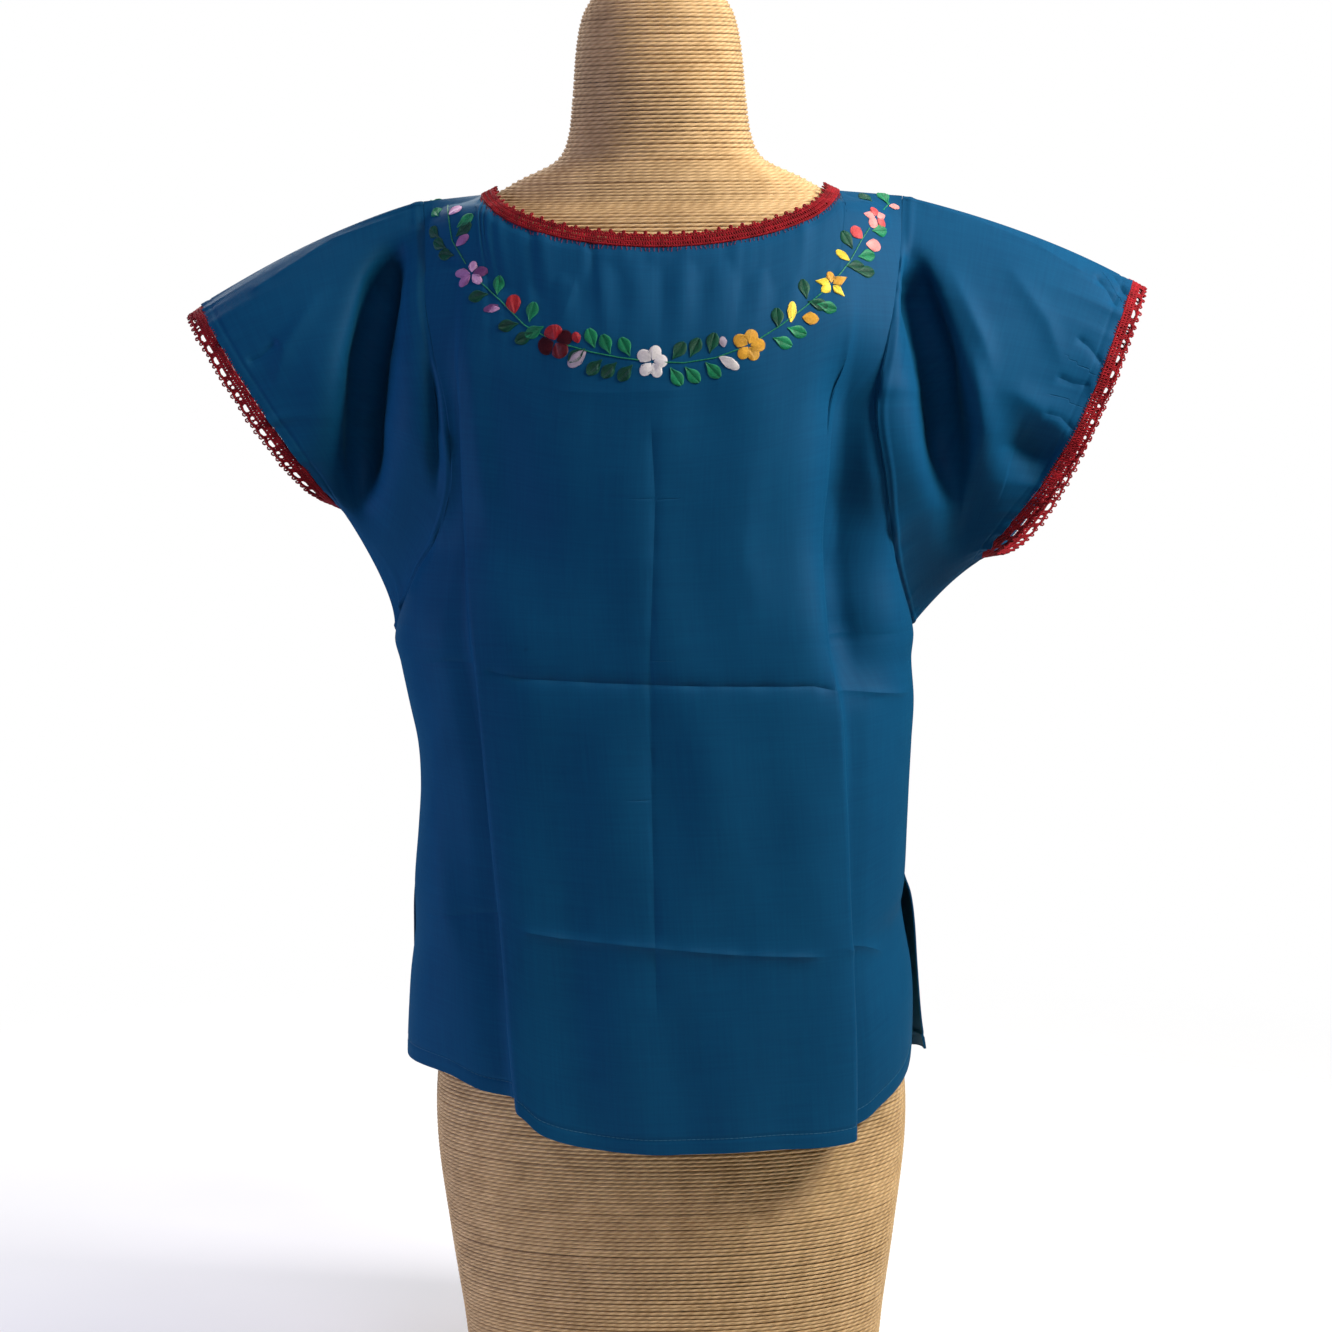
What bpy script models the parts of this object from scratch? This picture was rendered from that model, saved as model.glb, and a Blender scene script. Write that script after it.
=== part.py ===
"""A loose short-sleeved blouse with crocheted edgings, dressed on a limbless form.

Metres, +Z up. The blouse's back faces -Y and its front +Y. The origin is the
centre of the form's flat base. Every cloth piece is a thin wall: a sheet of
points worked out from the tables below, thickened both ways.
"""

import math
from collections import namedtuple

import bpy
from mathutils import Vector

# Walls and gaps
CLOTH = 0.0012
LACE = 0.0016
SEAM_GAP = 0.0003
SEAT_GAP = 0.0020
BODY_GAP = 0.0032

# Every height below is counted from a level this far above the form's base
LEVEL = 0.050

# Heights of the blouse's construction points
SHOULDER_Z = 0.7995
UNDERARM_Z = 0.495
SLIT_TOP_Z = 0.318
BACK_HEM_Z = 0.1416
FRONT_HEM_Z = 0.1420

# Neckline
NECK_CORNER_X = 0.1250
NECK_CORNER_Z = 0.8030
BACK_NECK_Z = 0.7655
FRONT_NECK_Z = 0.7280
NECK_TRIM_WIDTH = 0.0100
NECK_CURVE = 1.15
NECK_SAMPLES = 120
NECK_CORNER_STEP = 0.0005

# Armholes, slits and cuffs
ARMHOLE_BACK = 0.074
ARMHOLE_FRONT = 0.070
SHOULDER_SEAM_Y = -0.006
SHOULDER_ROUND = 0.88
SLIT_OPEN = 0.013
CUFF_REPEATS = 40
CUFF_GAP = 0.0006
CUFF_UNDER_GAP = 0.0008
CUFF_BASE = 0.0040
CUFF_MESH = 0.0050
CUFF_EDGE = 0.0038
CUFF_SCALLOP = 0.0016

# Gathers
BACK_GATHERS = 12
FRONT_GATHERS = 9
NECK_GATHER = 0.0022
CUFF_GATHERS = 14
CUFF_GATHER = 0.0016

# Grid density: columns of the middle band at the neck and below it, and rows
Grid = namedtuple("Grid", "neck_columns body_columns lower_rows side_steps")
GRIDS = {
    "back": Grid(48, 16, 18, (0.09, 0.2, 0.4, 0.6, 0.8, 1.0)),
    "front": Grid(40, 12, 12, (0.12, 0.3, 0.6, 1.0)),
}
UPPER_ROWS = 13
FINE_ROWS = 4
FORM_SIDES = 30
FORM_SQUARENESS = 2.2

FormRow = namedtuple("FormRow", "z half_width back front")
FORM = [
    FormRow(-0.050, 0.1420, 0.085, 0.085),
    FormRow(-0.042, 0.1475, 0.090, 0.090),
    FormRow(0.000, 0.1535, 0.096, 0.093),
    FormRow(0.060, 0.1620, 0.101, 0.095),
    FormRow(0.130, 0.1700, 0.106, 0.097),
    FormRow(0.185, 0.1680, 0.106, 0.098),
    FormRow(0.280, 0.1500, 0.093, 0.093),
    FormRow(0.380, 0.1220, 0.076, 0.086),
    FormRow(0.480, 0.1310, 0.083, 0.100),
    FormRow(0.570, 0.1400, 0.094, 0.119),
    FormRow(0.640, 0.1480, 0.101, 0.112),
    FormRow(0.700, 0.1570, 0.098, 0.100),
    FormRow(0.740, 0.1640, 0.086, 0.087),
    FormRow(0.765, 0.1655, 0.076, 0.078),
    FormRow(0.781, 0.1630, 0.068, 0.072),
    FormRow(0.789, 0.1560, 0.064, 0.069),
    FormRow(0.7940, 0.1450, 0.061, 0.067),
    FormRow(0.7975, 0.1340, 0.059, 0.066),
    FormRow(0.8015, 0.1240, 0.0580, 0.0655),
    FormRow(0.8065, 0.1135, 0.0570, 0.0650),
    FormRow(0.8140, 0.1000, 0.0560, 0.0643),
    FormRow(0.8265, 0.0745, 0.0540, 0.0630),
    FormRow(0.8407, 0.0655, 0.0533, 0.0625),
    FormRow(0.8685, 0.0614, 0.0528, 0.0620),
    FormRow(0.9000, 0.0587, 0.0518, 0.0607),
    FormRow(0.9200, 0.0555, 0.0492, 0.0578),
    FormRow(0.9330, 0.0507, 0.0450, 0.0530),
    FormRow(0.9430, 0.0420, 0.0375, 0.0440),
    FormRow(0.9500, 0.0270, 0.0240, 0.0285),
    FormRow(0.9520, 0.0130, 0.0115, 0.0140),
]

# Side edges of the back and front panels: armhole above the underarm, then
# the side seam, then the slit's two free edges
EdgeRow = namedtuple("EdgeRow", "z left right front_left front_right")
EDGES = [
    EdgeRow(0.1500, 0.1893, 0.1690, 0.1870, 0.1900),
    EdgeRow(0.1800, 0.1893, 0.1716, 0.1865, 0.1866),
    EdgeRow(0.2050, 0.1891, 0.1742, 0.1860, 0.1830),
    EdgeRow(0.2460, 0.1868, 0.1743, 0.1850, 0.1797),
    EdgeRow(0.2800, 0.1826, 0.1690, 0.1843, 0.1775),
    EdgeRow(0.3000, 0.1822, 0.1668, 0.1838, 0.1748),
    EdgeRow(0.3180, 0.1822, 0.1696, 0.1822, 0.1696),
    EdgeRow(0.3560, 0.1786, 0.1718, 0.1786, 0.1718),
    EdgeRow(0.3860, 0.1767, 0.1733, 0.1767, 0.1733),
    EdgeRow(0.4160, 0.1781, 0.1749, 0.1781, 0.1749),
    EdgeRow(0.4450, 0.1838, 0.1762, 0.1838, 0.1762),
    EdgeRow(0.4740, 0.1894, 0.1744, 0.1894, 0.1744),
    EdgeRow(0.4950, 0.1928, 0.1757, 0.1928, 0.1757),
    EdgeRow(0.5400, 0.1750, 0.1635, 0.1750, 0.1635),
    EdgeRow(0.5650, 0.1600, 0.1590, 0.1600, 0.1590),
    EdgeRow(0.6040, 0.1478, 0.1545, 0.1478, 0.1545),
    EdgeRow(0.6540, 0.1488, 0.1478, 0.1488, 0.1478),
    EdgeRow(0.7000, 0.1585, 0.1560, 0.1585, 0.1560),
    EdgeRow(0.7320, 0.1640, 0.1620, 0.1640, 0.1620),
    EdgeRow(0.7630, 0.1642, 0.1668, 0.1642, 0.1668),
    EdgeRow(0.7995, 0.1665, 0.1700, 0.1665, 0.1700),
]

# The two pressed folds that run down from the neck corners: their distance
# from the middle, how far they stand out and how far the cloth outside drops
FoldRow = namedtuple("FoldRow", "z left right left_rise left_drop right_rise right_drop")
BACK_FOLDS = [
    FoldRow(0.142, 0.0990, 0.1288, 0.007, 0.019, 0.005, 0.014),
    FoldRow(0.168, 0.1009, 0.1280, 0.007, 0.019, 0.005, 0.014),
    FoldRow(0.205, 0.1045, 0.1266, 0.007, 0.018, 0.005, 0.013),
    FoldRow(0.309, 0.1131, 0.1241, 0.006, 0.016, 0.005, 0.012),
    FoldRow(0.387, 0.1206, 0.1215, 0.005, 0.014, 0.004, 0.011),
    FoldRow(0.479, 0.1299, 0.1165, 0.004, 0.011, 0.004, 0.010),
    FoldRow(0.530, 0.1340, 0.1150, 0.003, 0.008, 0.003, 0.007),
    FoldRow(0.604, 0.1365, 0.1190, 0.002, 0.004, 0.002, 0.004),
    FoldRow(0.700, 0.1370, 0.1290, 0.001, 0.001, 0.001, 0.001),
    FoldRow(0.803, 0.1250, 0.1250, 0.000, 0.000, 0.000, 0.000),
]
FRONT_FOLDS = [
    FoldRow(0.150, 0.1120, 0.1060, 0.005, 0.013, 0.005, 0.014),
    FoldRow(0.304, 0.1160, 0.1120, 0.005, 0.011, 0.005, 0.012),
    FoldRow(0.497, 0.1220, 0.1200, 0.003, 0.007, 0.003, 0.007),
    FoldRow(0.604, 0.1290, 0.1290, 0.001, 0.002, 0.001, 0.002),
    FoldRow(0.803, 0.1250, 0.1250, 0.000, 0.000, 0.000, 0.000),
]

# How far the cloth's middle stands from the form's axis plane, back and front
ProfileRow = namedtuple("ProfileRow", "z back front")
PROFILE = [
    ProfileRow(0.150, 0.1250, 0.1300),
    ProfileRow(0.300, 0.1215, 0.1290),
    ProfileRow(0.450, 0.1165, 0.1270),
    ProfileRow(0.570, 0.1110, 0.1250),
    ProfileRow(0.640, 0.1080, 0.1190),
    ProfileRow(0.700, 0.1040, 0.1060),
    ProfileRow(0.740, 0.0910, 0.0910),
    ProfileRow(0.764, 0.0790, 0.0820),
    ProfileRow(0.790, 0.0660, 0.0720),
    ProfileRow(0.813, 0.0580, 0.0660),
]

# How far each hem rises from its middle; the band position counts -2 at
# the left edge, -1 at the left fold, 1 at the right fold and 2 at the right edge
HemRow = namedtuple("HemRow", "band back front")
HEM = [
    HemRow(-2.00, 0.0517, 0.0440),
    HemRow(-1.54, 0.0473, 0.0280),
    HemRow(-1.28, 0.0361, 0.0150),
    HemRow(-1.04, 0.0303, 0.0090),
    HemRow(-0.98, 0.0262, 0.0075),
    HemRow(-0.87, 0.0145, 0.0050),
    HemRow(-0.61, 0.0048, 0.0020),
    HemRow(-0.20, 0.0000, 0.0000),
    HemRow(0.50, 0.0010, 0.0010),
    HemRow(0.97, 0.0022, 0.0070),
    HemRow(1.06, 0.0062, 0.0095),
    HemRow(1.23, 0.0080, 0.0140),
    HemRow(1.42, 0.0184, 0.0210),
    HemRow(1.77, 0.0368, 0.0340),
    HemRow(2.00, 0.0560, 0.0400),
]

# Each sleeve's opening: top and bottom corners, depths and outward bows
Sleeve = namedtuple(
    "Sleeve", "side top_x top_z bottom_x bottom_z back front back_bow front_bow lean"
)
SLEEVES = {
    "left": Sleeve(-1, 0.3240, 0.7280, 0.2265, 0.5835, 0.056, 0.058, 0.002, 0.008, -0.05),
    "right": Sleeve(1, 0.3310, 0.7385, 0.2215, 0.5440, 0.054, 0.058, 0.011, 0.027, 0.45),
}

# The deep hollow between each sleeve and the body, down from the shoulder
HollowRow = namedtuple("HollowRow", "z x half_width depth")
HOLLOWS = {
    "left": [
        HollowRow(0.560, 0.2100, 0.012, 0.000),
        HollowRow(0.600, 0.2110, 0.016, 0.012),
        HollowRow(0.640, 0.2080, 0.019, 0.028),
        HollowRow(0.685, 0.2030, 0.018, 0.030),
        HollowRow(0.735, 0.1960, 0.014, 0.016),
        HollowRow(0.775, 0.1880, 0.010, 0.000),
    ],
    "right": [
        HollowRow(0.540, 0.2080, 0.012, 0.000),
        HollowRow(0.585, 0.2070, 0.016, 0.012),
        HollowRow(0.640, 0.1960, 0.018, 0.026),
        HollowRow(0.690, 0.1850, 0.015, 0.026),
        HollowRow(0.730, 0.1780, 0.012, 0.014),
        HollowRow(0.765, 0.1720, 0.010, 0.000),
    ],
}

# Colour, roughness
FINISHES = {
    "cloth": ((0.012, 0.095, 0.190), 0.55),
    "crochet": ((0.330, 0.008, 0.016), 0.80),
    "twine": ((0.560, 0.385, 0.190), 0.85),
}


neck_halves = {}


def smooth(value):
    """0 below 0, 1 above 1, and an S-curve between."""
    t = min(1.0, max(0.0, value))
    return t * t * (3 - 2 * t)


def mix(a, b, share):
    return a + (b - a) * share


def read(table, column, at):
    """A table's column at a place in its first column, on a smooth curve through its rows."""
    places = [row[0] for row in table]
    values = [getattr(row, column) for row in table]
    if at <= places[0]:
        return values[0]
    if at >= places[-1]:
        return values[-1]
    k = next(i for i in range(len(places) - 1) if at <= places[i + 1])

    def slope(i):
        before = max(i - 1, 0)
        after = min(i + 1, len(places) - 1)
        return (values[after] - values[before]) / (places[after] - places[before])

    span = places[k + 1] - places[k]
    t = (at - places[k]) / span
    return (
        (2 * t**3 - 3 * t**2 + 1) * values[k]
        + (t**3 - 2 * t**2 + t) * span * slope(k)
        + (3 * t**2 - 2 * t**3) * values[k + 1]
        + (t**3 - t**2) * span * slope(k + 1)
    )


def form_level(point):
    """0 on the form's surface, and more than 0 outside it."""
    depth = read(FORM, "back" if point.y < 0 else "front", point.z)
    width = read(FORM, "half_width", point.z)
    n = FORM_SQUARENESS
    return ((abs(point.x) / width) ** n + (abs(point.y) / depth) ** n) ** (1 / n) - 1


def form_distance(point):
    """Roughly how far a point is from the form's surface, and the way out."""
    step = 1e-4
    slope = Vector(
        [
            (form_level(point + axis * step) - form_level(point - axis * step)) / (2 * step)
            for axis in (Vector((1, 0, 0)), Vector((0, 1, 0)), Vector((0, 0, 1)))
        ]
    )
    return form_level(point) / slope.length, slope.normalized()


def seat(point, gap):
    """The point moved to that distance from the form's surface."""
    for _ in range(8):
        distance, out = form_distance(point)
        point = point + out * (gap - distance)
    return point


def clear_of_form(point, gap):
    """The point as it is, or moved out to that distance where it is nearer."""
    return seat(point, gap) if form_distance(point)[0] < gap else point


def panel_edge(face, side, level):
    """A point on a panel's side edge. level runs 0 to 1 from hem to underarm and 1 to 2 up the armhole."""
    sign = -1 if face == "back" else 1
    if level >= 1:
        w = level - 1
        z = mix(UNDERARM_Z, SHOULDER_Z, w)
        depth = ARMHOLE_BACK if face == "back" else ARMHOLE_FRONT
        y = sign * depth * math.sin(math.pi * min(w, 1.0)) + SHOULDER_SEAM_Y * w**4
    else:
        z = mix(hem_height(face, 2 * side), UNDERARM_Z, level)
        y = sign * SLIT_OPEN * smooth((SLIT_TOP_Z - z) / (SLIT_TOP_Z - BACK_HEM_Z))
    name = ("front_" if face == "front" else "") + ("left" if side < 0 else "right")
    return Vector((side * read(EDGES, name, z), y, z))


def hem_height(face, band):
    return (BACK_HEM_Z if face == "back" else FRONT_HEM_Z) + read(HEM, face, band)


def neck_half(face):
    """Closely spaced points of the neck edge on the form, from its middle to its right corner."""
    low = BACK_NECK_Z if face == "back" else FRONT_NECK_Z
    sign = -1 if face == "back" else 1
    gap = CLOTH / 2 + SEAT_GAP
    points = []
    for k in range(NECK_SAMPLES):
        # The last samples crowd towards the corner, where the edge turns over the shoulder
        angle = math.pi / 2 * (1 - (1 - k / NECK_SAMPLES) ** 2.5)
        x = NECK_CORNER_X * math.sin(angle)
        z = mix(NECK_CORNER_Z, low, math.cos(angle) ** NECK_CURVE)
        share = max(0.0, 1 - (x / read(FORM, "half_width", z)) ** FORM_SQUARENESS)
        y = read(FORM, face, z) * share ** (1 / FORM_SQUARENESS)
        point = seat(Vector((x, sign * y, z)), gap)
        if point.y * sign > SHOULDER_SEAM_Y * sign + NECK_CORNER_STEP:
            points.append(point)
    corner = Vector((NECK_CORNER_X, SHOULDER_SEAM_Y, NECK_CORNER_Z))
    return points + [seat(corner, gap)]


def neckline(face, t):
    """A point of the neck edge, evenly spaced: t is -1 at the left corner and 1 at the right."""
    if face not in neck_halves:
        neck_halves[face] = neck_half(face)
    points = neck_halves[face]
    lengths = [(b - a).length for a, b in zip(points, points[1:])]
    left = abs(t) * sum(lengths)
    k = 0
    while k < len(lengths) - 1 and left > lengths[k]:
        left -= lengths[k]
        k += 1
    point = points[k].lerp(points[k + 1], min(1.0, left / lengths[k]))
    return Vector((math.copysign(point.x, t), point.y, point.z))


def shoulder_seam(side, share):
    """A point of the shoulder seam, from the neck corner to the armhole's top."""
    point = neckline("back", side).lerp(panel_edge("back", side, 2.0), share)
    return clear_of_form(point, CLOTH / 2 + SEAT_GAP)


def gather(face, t):
    """The height of the neck gathers, 0 to 1, across a neckline."""
    count = BACK_GATHERS if face == "back" else FRONT_GATHERS
    return 0.5 - 0.5 * math.cos(math.pi * count * (t + 1))


def fold_offset(face, band, z):
    """How far the two long folds move the cloth out, at a band position."""
    table = BACK_FOLDS if face == "back" else FRONT_FOLDS
    total = 0.0
    for side, name in ((-1, "left"), (1, "right")):
        rise = read(table, name + "_rise", z)
        drop = read(table, name + "_drop", z)
        past = band * side - 1
        if past <= 0:
            total += rise * (1 - smooth(-past / 0.45))
        else:
            total += (rise + drop) * (1 - smooth(past / 0.2))
            total -= drop * (1 - smooth((past - 0.2) / 0.8))
    return total


def panel_top(face, band):
    """A point of a panel's top edge: the neck edge, or past its corner the shoulder seam."""
    if abs(band) <= 1:
        return neckline(face, band)
    return shoulder_seam(-1 if band < 0 else 1, abs(band) - 1)


def hanging_point(face, band, level):
    """A point of a panel's hanging cloth, before it turns over the shoulder."""
    sign = -1 if face == "back" else 1
    side = -1 if band < 0 else 1
    edge = panel_edge(face, side, level)
    w = max(0.0, level - 1)

    # Heights: each column is stretched between the hem, the underarm and the top
    if level >= 1:
        z = mix(UNDERARM_Z, panel_top(face, band).z, w)
    else:
        z = mix(hem_height(face, band), UNDERARM_Z, level)

    # Width: three bands, between the edges and the two folds
    folds = BACK_FOLDS if face == "back" else FRONT_FOLDS
    line_left = -read(folds, "left", edge.z)
    line_right = read(folds, "right", edge.z)
    if abs(band) <= 1:
        x = mix(line_left, line_right, (band + 1) / 2)
        x = mix(x, neckline(face, band).x, smooth((w - 0.5) / 0.5))
    else:
        line = line_left if side < 0 else line_right
        x = mix(line, edge.x, math.sin((abs(band) - 1) * math.pi / 2))

    # Depth: a rounded section below the underarm that opens out above it
    reach = min(1.0, abs(x / edge.x))
    rounded = (1 - reach**2.6) ** (1 / 2.6)
    opened = 1 - reach**2.4
    share = mix(rounded, opened, smooth(w / 0.35))
    middle = sign * read(PROFILE, face, z)
    y = mix(edge.y, middle, share)

    # Folds and gathers stand out of that section
    out = Vector((x / edge.x**2, y / middle**2, 0.0)).normalized()
    offset = fold_offset(face, band, z)
    if abs(band) < 1 and w > 0:
        offset += NECK_GATHER * gather(face, band) * smooth((w - 0.72) / 0.2) * (1 - band**4)
    return Vector((x, y, z)) + out * offset


def panel_point(face, band, level):
    """A point of the back or front panel's middle surface.

    band runs -2 to 2 from the left edge to the right, with the long folds at
    -1 and 1. level runs 0 to 1 from hem to underarm and 1 to 2 up to the top.
    """
    if abs(band) >= 2:
        return panel_edge(face, -1 if band < 0 else 1, level)
    if level >= 2:
        return panel_top(face, band)
    w = max(0.0, level - 1)
    point = hanging_point(face, band, level)

    # The last stretch bends over in a quarter round to meet the top edge
    turned = max(0.0, (w - SHOULDER_ROUND) / (1 - SHOULDER_ROUND))
    if turned > 0:
        pull = panel_top(face, band) - hanging_point(face, band, 2.0)
        point = point + pull * (1 - math.sqrt(1 - turned**2))
    gap = mix(CLOTH / 2 + BODY_GAP, CLOTH / 2 + SEAT_GAP, smooth((w - 0.97) / 0.03))
    return clear_of_form(point, gap)


def armhole_normal(face, side, w):
    """The way out of the cloth along an armhole, shared by panel and sleeve."""
    sign = -1 if face == "back" else 1
    swell = math.sin(math.pi * w)
    return Vector(
        (side * ((1 - w) + 0.15 * swell), sign * swell**0.6, w**3)
    ).normalized()


def ring_place(turn):
    """Face and armhole level for a turn round the sleeve, 0 at the top, 0.5 at the underarm."""
    face = "back" if turn <= 0.5 else "front"
    return face, 0.5 + 0.5 * math.cos(2 * math.pi * turn)


def sleeve_opening(name, turn):
    """A point of the sleeve's hem edge."""
    sleeve = SLEEVES[name]
    face, w = ring_place(turn)
    top = Vector((sleeve.side * sleeve.top_x, 0, sleeve.top_z))
    bottom = Vector((sleeve.side * sleeve.bottom_x, 0, sleeve.bottom_z))
    chord = bottom - top
    out = Vector((-chord.z, 0, chord.x)) * (sleeve.side / chord.length)
    swell = abs(math.sin(2 * math.pi * turn))
    depth = sleeve.back if face == "back" else sleeve.front
    bow = sleeve.back_bow if face == "back" else sleeve.front_bow
    sign = -1 if face == "back" else 1
    bow_share = swell**3 * (1.25 - 0.5 * w) if face == "back" else swell * (1.35 - 0.7 * w)
    return bottom.lerp(top, w) + out * bow * bow_share + Vector((0, sign * depth * swell**0.85, 0))


def sleeve_axis(name):
    """The way the cuff points, square to the opening's chord."""
    sleeve = SLEEVES[name]
    chord = Vector(
        (sleeve.side * (sleeve.bottom_x - sleeve.top_x), 0, sleeve.bottom_z - sleeve.top_z)
    )
    return (Vector((-chord.z, 0, chord.x)) * sleeve.side).normalized()


def sleeve_point(name, along, turn):
    """A point of a sleeve's middle surface. along is 0 at the armhole and 1 at the hem."""
    sleeve = SLEEVES[name]
    side = sleeve.side
    face, w = ring_place(turn)
    start = panel_edge(face, side, 1 + w)
    end = sleeve_opening(name, turn)
    rise = smooth(w * 1.3)
    under = Vector((side * sleeve.lean, 0, 1 - sleeve.lean)).normalized()
    leave = under.lerp(Vector((side, 0, -0.25)), rise).normalized()
    start = start + leave * SEAM_GAP
    first = start + leave * mix(0.028, 0.056, w)
    second = end.lerp(start, 0.2 * (1 - w)) - sleeve_axis(name) * mix(0.0, 0.055, w)
    a, b = 1 - along, along
    point = start * a**3 + first * 3 * a * a * b + second * 3 * a * b * b + end * b**3

    # The hollow beside the armhole, and the gathers at the cuff
    hollow = HOLLOWS[name]
    depth = read(hollow, "depth", point.z)
    away = (abs(point.x) - read(hollow, "x", point.z)) / read(hollow, "half_width", point.z)
    sign = -1 if face == "back" else 1
    swell = math.sin(2 * math.pi * turn) ** 2
    settle = smooth(along / 0.12) * smooth((1 - along) / 0.25)
    strength = 1.0 if face == "back" else 0.6
    point.y -= sign * depth * strength * math.exp(-away * away) * settle * smooth(swell * 2)
    wave = 0.5 - 0.5 * math.cos(2 * math.pi * CUFF_GATHERS * turn)
    outward = Vector((side * 0.2, sign, 0.0)) * (wave * CUFF_GATHER * swell)
    return point + outward * smooth((along - 0.75) / 0.25)


def zip_rows(lower, upper):
    """Faces between two rows of (place, vertex), whose places may differ in number."""
    faces = []
    i = j = 0
    while i < len(lower) - 1 or j < len(upper) - 1:
        next_low = lower[i + 1][0] if i + 1 < len(lower) else math.inf
        next_up = upper[j + 1][0] if j + 1 < len(upper) else math.inf
        if abs(next_low - next_up) < 1e-9:
            faces.append((lower[i][1], lower[i + 1][1], upper[j + 1][1], upper[j][1]))
            i += 1
            j += 1
        elif next_low < next_up:
            faces.append((lower[i][1], lower[i + 1][1], upper[j][1]))
            i += 1
        else:
            faces.append((lower[i][1], upper[j + 1][1], upper[j][1]))
            j += 1
    return faces


def sheet_normals(points, faces):
    """Area-weighted normals of a sheet's points."""
    normals = [Vector() for _ in points]
    for face in faces:
        across = points[face[2]] - points[face[0]]
        if len(face) == 4:
            other = points[face[3]] - points[face[1]]
        else:
            other = points[face[2]] - points[face[1]]
        square = across.cross(other)
        for index in face:
            normals[index] += square
    return [normal.normalized() for normal in normals]


def make_object(name, points, faces, finish):
    """A named mesh object with its own material."""
    mesh = bpy.data.meshes.new(name)
    mesh.from_pydata([(point.x, point.y, point.z + LEVEL) for point in points], [], faces)
    mesh.update()
    mesh.shade_smooth()
    mesh.set_sharp_from_angle(angle=math.radians(50))
    colour, roughness = FINISHES[finish]
    material = bpy.data.materials.new(name)
    material.use_nodes = True
    shader = material.node_tree.nodes["Principled BSDF"]
    shader.inputs["Base Color"].default_value = (*colour, 1)
    shader.inputs["Roughness"].default_value = roughness
    shader.inputs["Metallic"].default_value = 0
    mesh.materials.append(material)
    item = bpy.data.objects.new(name, mesh)
    bpy.context.scene.collection.objects.link(item)
    return item


def cut_quads(points, faces):
    """Four-sided faces cut along their shorter diagonal, so that both sides of a wall are cut alike."""
    cut = []
    for face in faces:
        if len(face) == 3:
            cut.append(face)
            continue
        a, b, c, d = face
        if (points[a] - points[c]).length <= (points[b] - points[d]).length:
            cut += [(a, b, c), (a, c, d)]
        else:
            cut += [(a, b, d), (b, c, d)]
    return cut


def make_wall(name, points, faces, thickness, finish, flip=False, shared=None):
    """A sheet thickened both ways into one closed wall. shared gives chosen points' normals."""
    if flip:
        faces = [tuple(reversed(face)) for face in faces]
    normals = sheet_normals(points, faces)
    faces = cut_quads(points, faces)
    for index, normal in (shared or {}).items():
        normals[index] = normal
    count = len(points)
    half = thickness / 2
    outer = [p + n * half for p, n in zip(points, normals)]
    inner = [p - n * half for p, n in zip(points, normals)]
    directed = {(f[i], f[(i + 1) % len(f)]) for f in faces for i in range(len(f))}
    rims = [(a, b) for a, b in directed if (b, a) not in directed]
    backs = [tuple(index + count for index in reversed(face)) for face in faces]
    sides = [(b, a, a + count, b + count) for a, b in sorted(rims)]
    return make_object(name, outer + inner, faces + backs + sides, finish)


def panel_columns(face, level):
    """The band positions of one row: closely spaced near the neck."""
    grid = GRIDS[face]
    fine = level > 1 + armhole_levels()[-FINE_ROWS] - 1e-6
    count = grid.neck_columns if fine else grid.body_columns
    middle = [-1 + 2 * k / count for k in range(count + 1)]
    right = [1 + step for step in grid.side_steps]
    return [-place for place in reversed(right)] + middle + right


def armhole_levels():
    """Levels up the armhole, closer together at the underarm and the shoulder."""
    return [0.5 - 0.5 * math.cos(math.pi * k / UPPER_ROWS) for k in range(UPPER_ROWS + 1)]


def make_panel(name, face):
    sign = -1 if face == "back" else 1
    below = GRIDS[face].lower_rows
    levels = [k / below for k in range(below)] + [1 + w for w in armhole_levels()]
    points, rows, shared = [], [], {}
    for level in levels:
        row = []
        for band in panel_columns(face, level):
            point = panel_point(face, band, level)
            side = -1 if band < 0 else 1
            at_edge = abs(band) == 2
            if at_edge and level < 1:
                shared[len(points)] = Vector((side, 0, 0))
            elif at_edge:
                shared[len(points)] = armhole_normal(face, side, level - 1)
            elif level == 2:
                shared[len(points)] = form_distance(point)[1]
            if (at_edge and level <= 1) or (level == 2 and abs(band) >= 1):
                point = point + Vector((0, sign * SEAM_GAP / 2, 0))
            row.append((band, len(points)))
            points.append(point)
        rows.append(row)
    faces = []
    for lower, upper in zip(rows, rows[1:]):
        faces += zip_rows(lower, upper)
    return make_wall(name, points, faces, CLOTH, "cloth", face == "front", shared)


def armhole_turns():
    """Turns round a sleeve that meet the panels' rows."""
    down = [0.5 * k / UPPER_ROWS for k in range(UPPER_ROWS + 1)]
    return down + [0.5 + turn for turn in down[1:]]


def cuff_turns():
    return [k / (2 * CUFF_REPEATS) for k in range(2 * CUFF_REPEATS + 1)]


def make_sleeve(name):
    side = SLEEVES[name].side
    coarse = [0.0, 0.06, 0.14, 0.24, 0.36, 0.5, 0.66, 0.82]
    fine = [0.93, 1.0]
    points, rows, shared = [], [], {}
    for along in coarse + fine:
        turns = armhole_turns() if along in coarse else cuff_turns()
        row = []
        for turn in turns[:-1]:
            if along == 0:
                face, w = ring_place(turn)
                shared[len(points)] = armhole_normal(face, side, w)
            row.append((turn, len(points)))
            points.append(sleeve_point(name, along, turn))
        rows.append(row + [(1.0, row[0][1])])
    faces = []
    for inner, outer in zip(rows, rows[1:]):
        faces += zip_rows(inner, outer)
    return make_wall("sleeve_" + name, points, faces, CLOTH, "cloth", side < 0, shared)


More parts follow.
